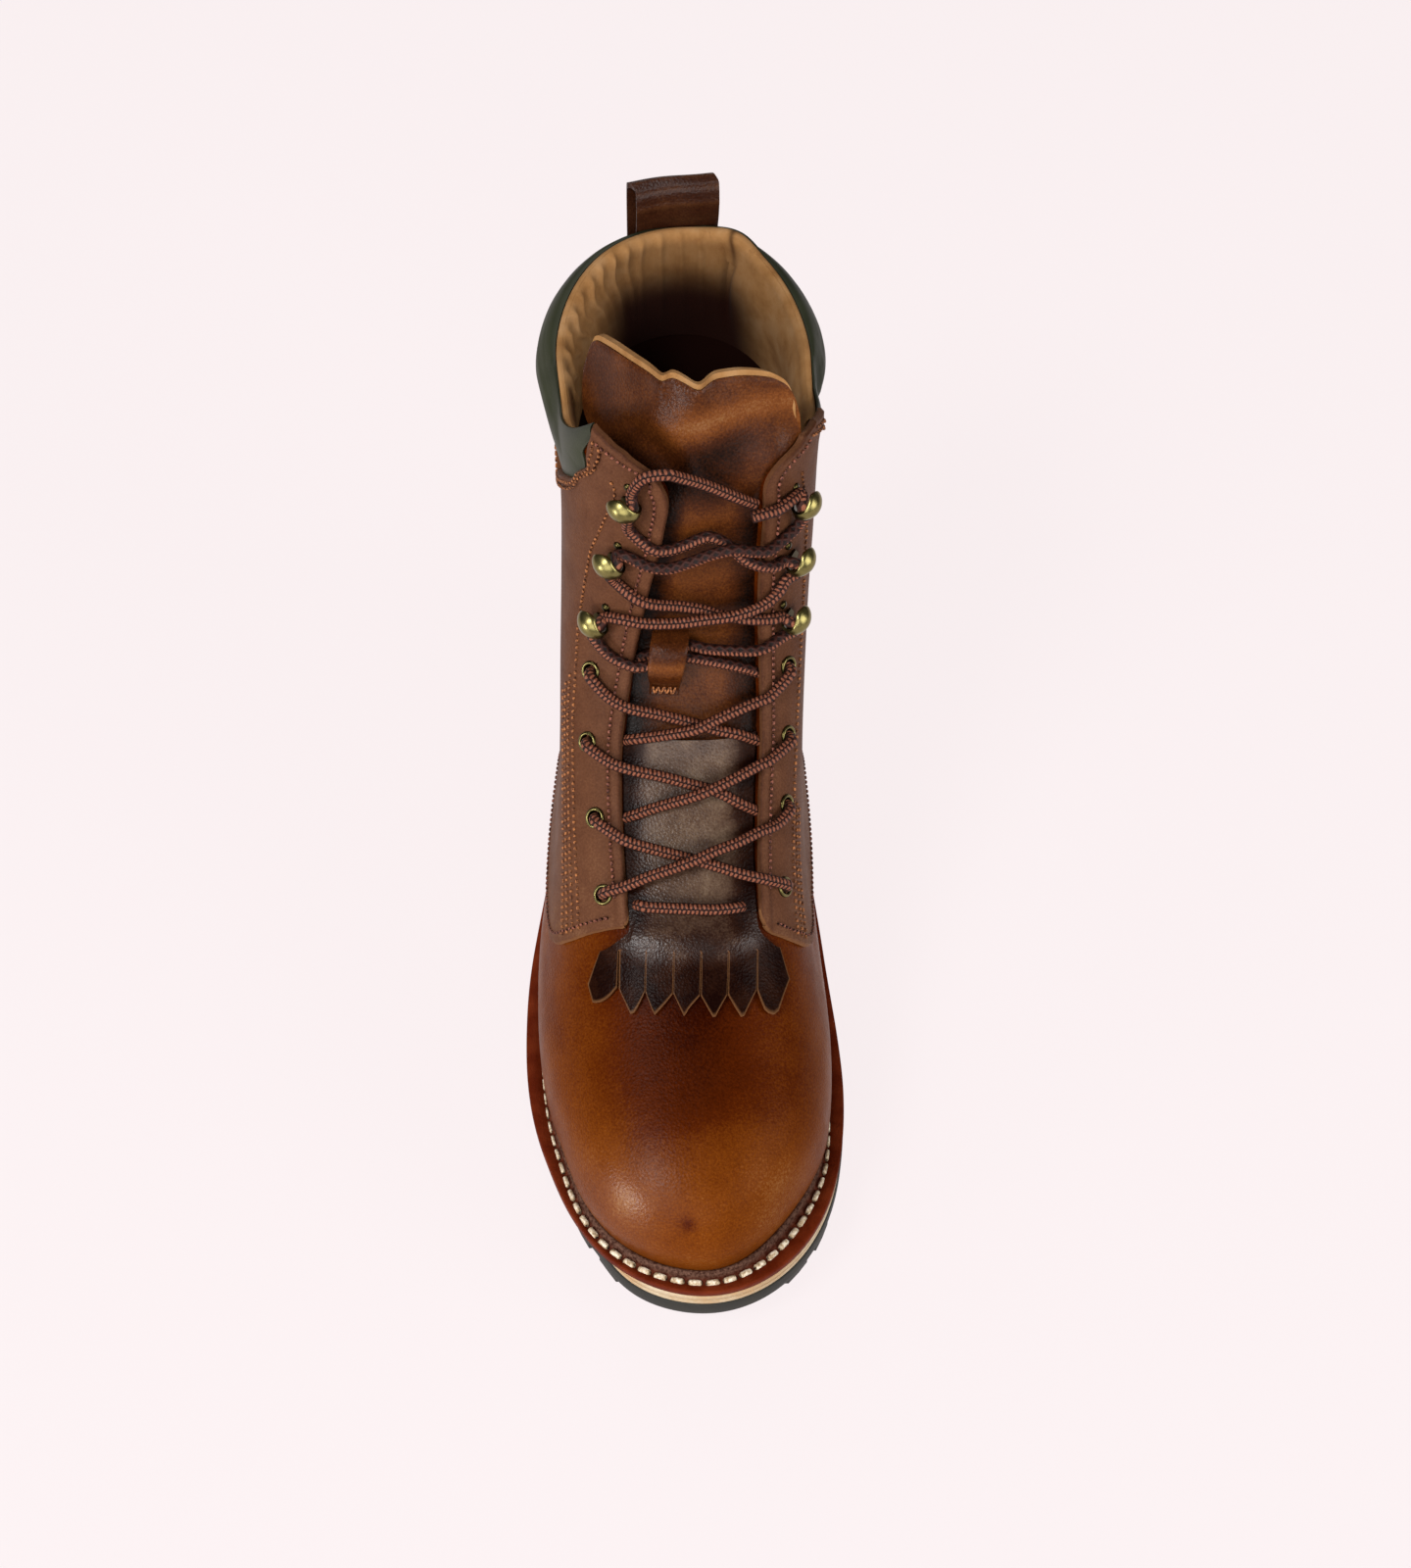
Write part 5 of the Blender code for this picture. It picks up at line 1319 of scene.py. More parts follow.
# Top edge from the lateral side round the front: place counted from the front, then across, from heel, up
TONGUE_TOP = np.array((
    (-0.30, -35.5, 72.0, 226.0),
    (-0.265, -33.0, 69.5, 235.0),
    (-0.23, -26.7, 78.6, 239.0),
    (-0.18, -20.8, 87.0, 242.0),
    (-0.125, -14.5, 94.3, 244.0),
    (-0.085, -9.8, 101.5, 246.0),
    (-0.06, -6.8, 99.4, 247.0),
    (-0.035, -2.2, 102.8, 247.0),
    (-0.005, 2.1, 106.6, 247.0),
    (0.025, 6.3, 101.5, 248.0),
    (0.07, 14.4, 100.7, 249.0),
    (0.105, 20.5, 100.1, 248.5),
    (0.14, 25.1, 100.3, 248.0),
    (0.18, 29.7, 101.2, 246.0),
    (0.215, 31.9, 102.1, 243.0),
    (0.25, 33.5, 103.4, 237.0),
))


def round_front(across):
    """Place on a ring of a distance from the front centre, below 0 on the lateral side."""
    across = np.asarray(across, dtype=float)
    return np.where(across < 0, -1.0 - across, 1.0 - across)


def tongue_lip(across, evened):
    """Places of the tongue's top edge, evened out over a number of points."""
    spread = np.linspace(TONGUE_TOP[0, 0], TONGUE_TOP[-1, 0], LIP_POINTS)
    kernel = np.hanning(evened)
    lip = []
    for column in (1, 2, 3):
        line = np.interp(spread, TONGUE_TOP[:, 0], TONGUE_TOP[:, column])
        line = np.pad(line, evened // 2, mode="reflect", reflect_type="odd")
        line = np.convolve(line, kernel / kernel.sum(), mode="valid")
        lip.append(np.interp(across, spread, line))
    return np.stack(lip, axis=-1)


def tongue_points(across, up, height, extra=0.0):
    """Points of the tongue: across it, share of the way up, height over the upper's surface."""
    v = TONGUE_FROM + (TOP_RING - TONGUE_FROM) * up
    straight = skin(round_front(across), np.full(across.shape, TOP_RING), TONGUE_FACE)
    bend = smoothstep(TONGUE_BEND, 1.0, up)[..., None]
    curl = smoothstep(TONGUE_CURL, 1.0, up)[..., None]
    even = tongue_lip(across, LIP_EVENED)
    wavy = tongue_lip(across, LIP_WAVES) + np.array((0.0, 0.0, extra))
    return skin(round_front(across), v, height) + (even - straight) * bend + (wavy - even) * curl


tongue_leather = pull_up_leather("pull_up_leather_glazed", TONGUE_COLOURS, rough=0.33, shine=0.10,
                                 patch=16.0, drift=0.12)
across = np.linspace(TONGUE_TOP[0, 0], TONGUE_TOP[-1, 0], TONGUE_COLUMNS)
up = np.concatenate((np.linspace(0.0, LIP_FROM, TONGUE_ROWS), LIP_ROWS))[:, None]
across = np.broadcast_to(across, (len(up), across.size))
up = np.broadcast_to(up, across.shape)
# A painted highlight along a slanting fold, with painted shadow below it
slant = up - BRIGHT_SLOPE * across
painted_highlight = np.exp(-((slant - BRIGHT_AT) / BRIGHT_HALF) ** 2) * smoothstep(*BRIGHT_END, across)
shadow = smoothstep(*SHADOW_TOP, slant) * smoothstep(*SHADOW_FOOT, up) * smoothstep(*SHADOW_END, across)
tone = TONGUE_TONE + BRIGHT_PALER * painted_highlight - SHADOW_DARKER * shadow
tone -= END_DARKER * smoothstep(*END_SPAN, across)
tone += MIDDLE_PALER * smoothstep(*MIDDLE_SPAN, up)
tone -= COVERED_DARKER * smoothstep(*COVERED_SPAN, np.abs(across)) * smoothstep(*COVERED_BELOW, up)
tongue_face = tongue_points(across, up, TONGUE_FACE - LIP_ROUND * smoothstep(LIP_FROM, 1.0, up))
shape = shell(tongue_face, tongue_points(across, up, TONGUE_SPLIT), {"tone": tone})
tongue = boot_mesh("tongue_leather", tongue_leather, *shape)
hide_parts("tongue")
shape = shell(tongue_points(across, up, BACKING_FACE, TONGUE_LIP),
              tongue_points(across, up, BACKING_BACK, TONGUE_LIP))
tongue_backing = boot_mesh("tongue_suede", caramel_suede, *shape)


# Kiltie. A fringed flap of dark olive-brown leather, held down by the lowest run of the lace, which goes
# through it; its lower end is cut by hand into seven pointed strips, and the cuts show paler leather.

KILTIE_THICK = 1.4
FRINGE_THICK = 0.9
THINNED_RINGS = (6.9, 6.5)
SLIT = 0.0016
BODY_ROWS = 48
SETTLES_FROM = 7.4
STRIP_COLUMNS = 11
STRIP_ROWS = 16
STRIP_EDGE = 0.03
# Lift of a strip's top, how far it sinks on its way down, and the share of its end's lift at the corners
STRIP_LIFT = 1.2
STRIP_SINKS = 0.25
CORNER_LIFT = 0.4
TIP_LIMITS = (0.12, 0.88)
KILTIE_COLOURS = ("#110402", "#251108", "#4b372a", "#685443")
# Tone of the flap, and its darker parts from the bar down: how much darker, over which rings
KILTIE_TONE = 0.72
KILTIE_SHADES = ((0.44, 7.6, 6.7), (0.20, 6.7, 6.1))
# The flap's sides next to the quarters' throat edges, painted darker as their shade and duller: where they
# begin, over which rings, how much darker and duller
BESIDE_SPAN = (0.09, 0.18)
BESIDE_RINGS = (6.8, 7.3)
BESIDE_DARKER = 0.62
BESIDE_DULL = 0.9
FRINGE_DULL = 0.85
FRINGE_RINGS = (6.75, 6.45)
RAW_FRINGE = 0.6
# Sheet down to the slits: ring, height of its underside, share of the fringe's width
KILTIE_BODY = np.array((
    (9.12, -0.9, 0.82),
    (8.9, -1.6, 0.82),
    (8.5, -1.9, 0.82),
    (8.0, -1.7, 0.82),
    (7.5, -1.1, 0.82),
    (7.2, -0.6, 0.82),
    (7.05, 0.2, 0.82),
    (6.95, 0.8, 0.87),
    (6.85, 1.15, 0.92),
    (6.75, 1.2, 0.96),
    (6.66, 1.2, 1.0),
))
# Fringe cuts from lateral to medial: across at the slit's top and at its notch, ring at each
KILTIE_CUTS = np.array((
    (-0.243, -0.267, 6.30, 5.62),
    (-0.214, -0.2175, 6.52, 5.944),
    (-0.139, -0.149, 6.652, 6.064),
    (-0.041, -0.051, 6.696, 6.112),
    (0.038, 0.029, 6.697, 6.091),
    (0.104, 0.0945, 6.65, 6.046),
    (0.183, 0.174, 6.478, 5.929),
    (0.232, 0.249, 6.20, 5.60),
))
# Points of the strips: across, ring, lift of the strip's end
KILTIE_TIPS = np.array(((-0.261, 5.417, 0.5), (-0.205, 5.663, 0.4), (-0.121, 5.77, 0.8), (-0.018, 5.81, 0.3),
                        (0.058, 5.755, 0.9), (0.130, 5.655, 0.4), (0.216, 5.397, 0.8)))


def strip_edges(strip, row):
    """A strip of the fringe from its slit's top to its tip: across, ring and lift of its columns."""
    left, right = KILTIE_CUTS[strip], KILTIE_CUTS[strip + 1]
    tip_across, tip_ring, tip_lift = KILTIE_TIPS[strip]
    share = np.linspace(0.0, 1.0, STRIP_COLUMNS)
    share[1], share[-2] = STRIP_EDGE, 1.0 - STRIP_EDGE
    top = left[0] + SLIT / 2 + (right[0] - left[0] - SLIT) * share
    notch = left[1] + SLIT + (right[1] - left[1] - 2 * SLIT) * share
    across = top + (notch - top) * row
    top_ring = left[2] + (right[2] - left[2]) * share
    notch_ring = left[3] + (right[3] - left[3]) * share
    tip_share = np.clip((tip_across - notch[0]) / (notch[-1] - notch[0]), *TIP_LIMITS)
    peak = np.interp(share, (0.0, tip_share, 1.0), (0.0, 1.0, 0.0))
    base = notch_ring * (1 - peak) + tip_ring * peak
    ring = top_ring + (base - top_ring) * row
    lift = STRIP_LIFT - STRIP_SINKS * row + tip_lift * row ** 2 * (CORNER_LIFT + (1.0 - CORNER_LIFT) * peak)
    return across, ring, lift


down = np.linspace(0.0, 1.0, STRIP_ROWS)[:, None]
strips = [strip_edges(strip, down) for strip in range(len(KILTIE_TIPS))]
fringe_across, fringe_ring, fringe_lift = (np.concatenate(grids, axis=1) for grids in zip(*strips))
slits_at = KILTIE_BODY[-1, 0]
body_ring = np.linspace(KILTIE_BODY[0, 0], slits_at, BODY_ROWS)[:, None]
body_lift = np.interp(-body_ring, -KILTIE_BODY[:, 0], KILTIE_BODY[:, 1])
body_wide = np.interp(-body_ring, -KILTIE_BODY[:, 0], KILTIE_BODY[:, 2])
fall = (slits_at - fringe_ring[:1]) * smoothstep(SETTLES_FROM, slits_at, body_ring)
kiltie_across = np.concatenate((fringe_across[:1] * body_wide, fringe_across[1:]))
kiltie_v = np.concatenate((body_ring - fall, fringe_ring[1:]))
kiltie_h = np.concatenate((np.broadcast_to(body_lift, fall.shape), fringe_lift[1:]))
rows, columns = kiltie_across.shape
kept = np.ones((rows - 1, columns - 1), bool)
for strip in range(1, len(KILTIE_TIPS)):
    kept[BODY_ROWS - 1:, strip * STRIP_COLUMNS - 1] = False
edge_column = np.isin(np.arange(columns) % STRIP_COLUMNS, (0, STRIP_COLUMNS - 1))
in_fringe = np.arange(rows)[:, None] >= BODY_ROWS - 1
cut = np.where(edge_column & in_fringe, RAW_FRINGE, 0.0)
cut[-1] = RAW_FRINGE
# Painted shade along the flap's sides, next to the quarters' throat edges
painted_edge_shade = smoothstep(*BESIDE_SPAN, np.abs(kiltie_across)) * smoothstep(*BESIDE_RINGS, kiltie_v)
tone = KILTIE_TONE - sum(darker * smoothstep(first, last, kiltie_v) for darker, first, last in KILTIE_SHADES)
tone -= BESIDE_DARKER * painted_edge_shade
dull = np.maximum(FRINGE_DULL * smoothstep(*FRINGE_RINGS, kiltie_v), BESIDE_DULL * painted_edge_shade)
kiltie_thick = KILTIE_THICK + (FRINGE_THICK - KILTIE_THICK) * smoothstep(*THINNED_RINGS, kiltie_v)
kiltie_u = round_front(kiltie_across)
shape = shell(skin(kiltie_u, kiltie_v, kiltie_h + kiltie_thick), skin(kiltie_u, kiltie_v, kiltie_h),
              {"tone": tone, "cut": cut, "dull": dull}, kept)
dry_leather = pull_up_leather("oiled_leather_dry", KILTIE_COLOURS, rough=0.3, shine=0.26,
                              patch=10.0, drift=0.2)
kiltie = boot_mesh("kiltie_fringe", dry_leather, *shape)
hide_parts("kiltie")


# Lace keeper. A short strap of the tongue's leather, arched over the laces and sewn down at its two feet,
# the lower one with a small zigzag, so that the laces under it hold the tongue in the middle.

KEEPER_THICK = 1.4
KEEPER_COLUMNS = 22
KEEPER_ROUNDS = 70
# The strap sags to its edges, which are rounded: share of its width where that begins, drop, sag
KEEPER_EDGE = 0.02
KEEPER_DROP = 0.35
KEEPER_SAG = 0.8
# Tone of the strap, and a painted highlight on the top of its arch: how much paler, ring, half width
KEEPER_TONE = 0.36
ARCH_HIGHLIGHT = 0.34
ARCH_RING = 10.05
ARCH_HALF = 0.12
# Zigzag of the lower foot: number of turns, ring, half its height, length and thickness of its stitches
ZIGZAG_POINTS = 9
ZIGZAG_RING = 9.68
ZIGZAG_HALF = 0.05
ZIGZAG_LONG = 1.8
ZIGZAG_THICK = 0.7
# The strap from its lower foot to its upper one: ring, height, lateral edge, medial edge
KEEPER_ROWS = np.array((
    (9.62, -1.9, -0.868, -0.972),
    (9.72, -1.6, -0.866, -0.974),
    (9.80, 3.2, -0.864, -0.976),
    (9.93, 6.3, -0.858, -0.980),
    (10.12, 7.0, -0.852, -0.984),
    (10.31, 6.6, -0.848, -0.986),
    (10.44, 4.2, -0.846, -0.986),
    (10.54, -1.4, -0.846, -0.986),
    (10.64, -1.9, -0.846, -0.986),
))


def flowing(rows, count):
    """Rows of a table on a smooth curve through them, at even shares of its way."""
    rows = np.asarray(rows, dtype=float)
    return np.array([flow_at(rows, place) for place in np.linspace(0.0, len(rows) - 1, count)])


rows = flowing(KEEPER_ROWS, KEEPER_ROUNDS)
side_share = np.linspace(0.0, 1.0, KEEPER_COLUMNS)
side_share[1], side_share[-2] = KEEPER_EDGE, 1.0 - KEEPER_EDGE
keeper_u = rows[:, 2:3] + (rows[:, 3:4] - rows[:, 2:3]) * side_share
keeper_v = np.broadcast_to(rows[:, :1], keeper_u.shape)
edge_drop = KEEPER_DROP * np.isin(np.arange(KEEPER_COLUMNS), (0, KEEPER_COLUMNS - 1))
keeper_h = rows[:, 1:2] - KEEPER_SAG * (2.0 * side_share - 1.0) ** 2
# Painted highlight along the top of the arch
tone = KEEPER_TONE + ARCH_HIGHLIGHT * np.exp(-((keeper_v - ARCH_RING) / ARCH_HALF) ** 2)
keeper_face = skin(keeper_u, keeper_v, keeper_h + KEEPER_THICK - edge_drop)
shape = shell(keeper_face, skin(keeper_u, keeper_v, keeper_h), {"tone": tone})
keeper = boot_mesh("keeper_strap", tongue_leather, *shape)
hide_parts("lace_keeper")
turns = np.arange(ZIGZAG_POINTS)
zigzag_u = KEEPER_ROWS[0, 2] + (KEEPER_ROWS[0, 3] - KEEPER_ROWS[0, 2]) * (turns + 1.0) / (ZIGZAG_POINTS + 1.0)
line, out = surface_line(zigzag_u, ZIGZAG_RING + ZIGZAG_HALF * (-1.0) ** turns, 0.0)
rows = [stitch_row(line[k:k + 2], out[k:k + 2], ZIGZAG_LONG, 0.0, ZIGZAG_THICK) for k in turns[:-1]]
keeper_stitches = sewn("keeper_stitches", rows, orange_thread)


# Pull loop. A strip of dark leather folded over and fixed behind the collar, standing up as a loop to pull
# the boot on by; it is open at both sides, where its raw edges show.

LOOP_WIDTH = 27.8
LOOP_THICK = 1.8
LOOP_AT = -6.6
LOOP_TURN = 7.0
LOOP_BACK = 3.3
LOOP_ROUNDS = 90
LOOP_COLUMNS = 30
LOOP_EDGE = 0.49
# The outer half is skewed, and the top tilts: how far, and over which share of the way along the strip
LOOP_SKEW = 2.6
SKEW_SPAN = (0.55, 0.40)
LOOP_TILT = 2.0
TILT_SPAN = (0.2, 0.5)
# The strip waves and bows across its width: how far, and how quickly
LOOP_WAVE = 0.25
WAVE_RATE = 7.0
LOOP_BOW = 0.5
BOW_RATE = 5.0
LOOP_COLOURS = ("#110502", "#2c1308", "#462814", "#62452e")
# Tone of the strip, paler on its pressed ridges: pull-up paling there, with a painted sheen
LOOP_TONE = 0.34
RIDGES_PALER = 0.5
# The strip in side view, from its outer foot over the fold to its inner foot: from heel, up
LOOP_PATH = ((3.3, 203.0), (3.3, 218.0), (3.3, 230.0), (3.5, 240.0), (4.4, 245.4), (6.6, 247.9), (9.0, 246.6),
             (10.2, 242.0), (9.9, 236.0), (8.6, 231.0), (7.4, 227.0), (6.9, 222.0))
# Low ridges pressed into the strip where it was folded: share of the way along it, height
LOOP_FOLDS = ((0.47, 0.35), (0.56, -0.3), (0.66, 0.35))
FOLD_HALF = 0.018

path = flowing(LOOP_PATH, LOOP_ROUNDS)
way = unit(np.gradient(path, axis=0))
off = np.stack((-way[:, 1], way[:, 0]), axis=1)
along = np.linspace(0.0, 1.0, LOOP_ROUNDS)
relief = sum(height * np.exp(-((along - place) / FOLD_HALF) ** 2) for place, height in LOOP_FOLDS)
across = np.linspace(-0.5, 0.5, LOOP_COLUMNS)
across[1], across[-2] = -LOOP_EDGE, LOOP_EDGE
turn = math.radians(LOOP_TURN)


def loop_points(depth):
    """The strip's points at a depth through it, turned about the loop's middle to follow the collar."""
    line = path + off * (depth + relief)[:, None]
    x = across * LOOP_WIDTH - LOOP_SKEW * smoothstep(*SKEW_SPAN, along)[:, None]
    s = line[:, :1] - LOOP_BACK + LOOP_WAVE * np.sin(across * WAVE_RATE)
    tilt = LOOP_BOW * np.cos(across * BOW_RATE) + LOOP_TILT * across
    z = line[:, 1:] + tilt * smoothstep(*TILT_SPAN, along)[:, None]
    turned_x = LOOP_AT + x * math.cos(turn) + s * math.sin(turn)
    turned_s = LOOP_BACK - x * math.sin(turn) + s * math.cos(turn)
    return np.stack((turned_x, turned_s, z), axis=2)


loop_leather = pull_up_leather("pull_up_leather_dark", LOOP_COLOURS, rough=0.36, shine=0.2, patch=12.0)
tone = np.repeat(LOOP_TONE + RIDGES_PALER * np.abs(relief), LOOP_COLUMNS)
shape = shell(loop_points(LOOP_THICK / 2), loop_points(-LOOP_THICK / 2), {"tone": tone})
loop = boot_mesh("pull_loop_strip", loop_leather, *shape)
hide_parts("pull_loop")


# Eyelets. Rolled rings of brass sheet, set through the quarters with a die and antiqued, so that the
# rim is rubbed bright and the barrel is dark.

EYELET_SIDES = 40
RIM_WORN = 0.5
RIM_HEIGHT = 0.9
BRASS_BRIGHT = "#877d4d"
BRASS_DARK = "#41391f"
# Section of an eyelet from its barrel over the rolled rim: radius, height over the quarter
EYELET_SECTION = ((2.35, -3.4), (2.35, 0.1), (2.42, 0.5), (2.6, 0.75), (2.95, 0.85), (3.3, 0.7), (3.55, 0.35),
                  (3.6, 0.0), (3.4, -0.3), (2.85, -0.3), (2.8, -3.4))


def antique_brass():
    """Brass, rolled and antiqued: rubbed yellow on the high rims, brown-black in the hollows."""
    material, tree, shader, at = new_material("brass_antiqued")
    worn = add(tree, "Attribute", {"attribute_name": "worn"}).outputs["Fac"]
    cloud = add(tree, "TexNoise", {"Scale": per_mm(2.2), "Detail": 5.0}, at)
    amount = add(tree, "Math", {"operation": "MULTIPLY_ADD", 1: 0.5}, {0: cloud, 2: worn})
    colour = add(tree, "ValToRGB", {"stops": ((0.35, BRASS_DARK), (1.0, BRASS_BRIGHT))}, {"Fac": amount})
    rough = add(tree, "MapRange", {"To Min": 0.2, "To Max": 0.42}, {"Value": cloud})
    set_up(shader, {"Metallic": 1.0}, {"Base Color": colour, "Roughness": rough})
    return material


def holder_frame(side, u, v):
    """Place on the quarter's face, and the ways away from the throat, up the boot and out of it."""
    centre = skin(u, v, QUARTER_FACE)
    out = skin(u, v, QUARTER_FACE + 1.0) - centre
    away = skin(u - side * 0.01, v, QUARTER_FACE) - centre
    away = unit(away - out * np.dot(away, out))
    up = np.cross(out, away)
    if np.dot(up, skin(u, v + 0.1) - skin(u, v)) < 0:
        up = -up
    return centre, away, up, out


brass = antique_brass()
HOLDERS = {}
turns = np.linspace(0.0, 2.0 * math.pi, EYELET_SIDES, endpoint=False)
rim_worn = [smoothstep(0.0, RIM_HEIGHT, height) * RIM_WORN for _, height in EYELET_SECTION]
worn = np.repeat(rim_worn, EYELET_SIDES)
for number, side, u, v in lace_holders("eyelet"):
    centre, away, up, out = HOLDERS[number, side] = holder_frame(side, u, v)
    spokes = np.cos(turns)[:, None] * away + np.sin(turns)[:, None] * up
    rings = [centre + spokes * radius + out * height for radius, height in EYELET_SECTION]
    name = f"{SIDE_NAMES[side]}_{number}"
    eyelet = boot_mesh("eyelet_ring_" + name, brass, *band(rings), {"worn": worn}, sharp=70.0)
    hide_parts("eyelet_" + name)


# Speed hooks. Stamped from brass sheet with a domed, curled-over end that the lace is snapped into,
# riveted through the quarter and antiqued like the eyelets.

HOOK_THICK = 0.9
HOOK_LEAN = 22.0
HOOK_ROUNDS = 60
HOOK_COLUMNS = 15
# How bright the curl is rubbed, and over which heights
CURL_WORN = 0.6
CURL_SPAN = (2.0, 6.5)
# How far each hook was set towards the throat
HOOK_SHIFT = {(5, -1): 3.4, (6, -1): 1.2, (7, -1): 0.6, (5, 1): 3.4, (6, 1): 2.4, (7, 1): 3.0}
# Head of the rivet: radius, height, place beside the hook, how bright
RIVET_RADIUS = 1.5
RIVET_HEIGHT = 0.9
RIVET_AT = (1.5, 5.4)
RIVET_WORN = -0.2
# The hook from its foot round the curl to its lip: away from the throat, height, half width, doming
HOOK_PATH = (
    (2.2, 0.5, 1.2, 0.0),
    (1.0, 0.6, 1.8, 0.0),
    (-2.4, 0.7, 1.9, 0.0),
    (-4.5, 1.5, 1.7, 0.1),
    (-5.3, 3.3, 1.6, 0.2),
    (-5.0, 5.2, 1.9, 0.5),
    (-3.6, 6.9, 2.9, 1.2),
    (-1.4, 8.0, 3.8, 1.9),
    (1.0, 8.1, 4.2, 2.3),
    (3.2, 7.2, 3.9, 2.0),
    (4.6, 5.9, 2.7, 1.1),
    (5.0, 5.0, 0.9, 0.2),
)


def dome(radius, height, rings=5, sides=20):
    """Points and faces of a low rivet head standing on a flat, as (right, up, out)."""
    points = []
    for turn in np.linspace(0.0, math.pi / 2.0, rings, endpoint=False):
        for spoke in np.linspace(0.0, 2.0 * math.pi, sides, endpoint=False):
            reach = radius * math.cos(turn)
            points.append((reach * math.cos(spoke), reach * math.sin(spoke), height * math.sin(turn)))
    points.append((0.0, 0.0, height))
    faces = [tuple(reversed(range(sides)))] + walls(sides, rings - 1)
    top = (rings - 1) * sides
    faces += [(top + place, top + (place + 1) % sides, rings * sides) for place in range(sides)]
    return np.array(points), faces


hook_rows = flowing(HOOK_PATH, HOOK_ROUNDS)
hook_spread = np.linspace(-1.0, 1.0, HOOK_COLUMNS)
hook_way = unit(np.gradient(hook_rows[:, :2], axis=0))
hook_off = np.stack((-hook_way[:, 1], hook_way[:, 0]), axis=1)


def hook_sheet(depth, centre, away, up, out):
    """The hook's bent sheet at a depth through it, its sides drawn down round the dome."""
    drawn = depth - hook_rows[:, 3:] * hook_spread ** 2
    reach = hook_rows[:, :1] + hook_off[:, :1] * drawn
    level = hook_rows[:, 1:2] + hook_off[:, 1:] * drawn
    wide = hook_rows[:, 2:3] * hook_spread
    return centre + reach[..., None] * away + wide[..., None] * up + level[..., None] * out


lean = math.radians(HOOK_LEAN)
curl_worn = np.repeat(smoothstep(*CURL_SPAN, hook_rows[:, 1]) * CURL_WORN, HOOK_COLUMNS)
for number, side, u, v in lace_holders("hook"):
    centre, away, up, out = holder_frame(side, u, v)
    centre = centre - away * HOOK_SHIFT[number, side]
    away, up = away * math.cos(lean) + up * math.sin(lean), up * math.cos(lean) - away * math.sin(lean)
    HOLDERS[number, side] = centre, away, up, out
    sheets = [hook_sheet(depth, centre, away, up, out) for depth in (-HOOK_THICK / 2.0, HOOK_THICK / 2.0)]
    shape = shell(*sheets, {"worn": curl_worn})
    head, head_faces = dome(RIVET_RADIUS, RIVET_HEIGHT)
    head = centre + (head[:, :1] + RIVET_AT[0]) * away + (head[:, 1:2] + RIVET_AT[1]) * up + head[:, 2:] * out
    worn = np.concatenate((shape[2]["worn"], np.full(len(head), RIVET_WORN)))
    name = f"{SIDE_NAMES[side]}_{number}"
    hook_shape = join([shape[:2], (head, head_faces)])
    hook = boot_mesh("speed_hook_" + name, brass, *hook_shape, {"worn": worn}, sharp=60.0)
    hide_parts("hook_" + name)


# Laces. One round lace of braided waxed cotton, dark brown with tan flecks; it is a bar below, crosses
# through four pairs of eyelets, runs under the keeper and is wound round the hooks.

LACE_RADIUS = 1.9
LACE_SIDES = 24
LACE_STEP = 0.7
LACE_DARK = "#120503"
LACE_BROWN = "#31130b"
LACE_FLECK = "#7d4934"
# Ribs of the braid, coarser than life so that they show: strands each way, length of one turn
BRAID_STRANDS = 4.0
BRAID_PITCH = 3.4
# Rows of flecks along its face: distance between flecks, half angle between rows, slant, length
FLECK_PITCH = 1.45
FLECK_APART = 0.55
FLECK_SLANT = 1.5
FLECK_BEAT = 0.14
# The lace's way into an eyelet: reach from its middle, height over the quarter
EYELET_WAY = ((4.2, 2.9), (1.7, 2.3), (0.3, 0.3), (0.0, -3.0))
# The lace's way under a hook: away from the throat, up the boot, and its height over the quarter
HOOK_WAY = ((-2.6, -3.6), (-2.0, -1.6), (-1.9, 0.6), (-2.4, 2.8))
HOOK_WAY_HEIGHT = 3.9
FRONT = np.array((0.0, 0.6, 0.8))


def even_line(points, step):
    """A smooth line through points, with its points spread evenly."""
    dense = flowing(points, len(points) * 30)
    run = run_along(dense)
    return points_along(np.linspace(0.0, run[-1], max(int(run[-1] / step), 8)), run, dense)


def tube(line):
    """A round lace along a line, with the way along it and round it, its face turned to the front."""
    count = len(line)
    ahead = unit(np.gradient(line, axis=0))
    face = np.zeros_like(line)
    middle = count // 2
    face[middle] = unit(FRONT - ahead[middle] * np.dot(FRONT, ahead[middle]))
    for order, back in ((range(middle + 1, count), -1), (range(middle - 1, -1, -1), 1)):
        for place in order:
            carried = face[place + back]
            face[place] = unit(carried - ahead[place] * np.dot(carried, ahead[place]))
    side = np.cross(ahead, face)
    turns = 2.0 * math.pi * np.arange(LACE_SIDES) / LACE_SIDES
    rings = [line + (face * math.cos(turn) + side * math.sin(turn)) * LACE_RADIUS for turn in turns]
    values = {"around": np.repeat(turns, count), "along": np.tile(run_along(line), LACE_SIDES)}
    return *band(rings, wrap=False), values


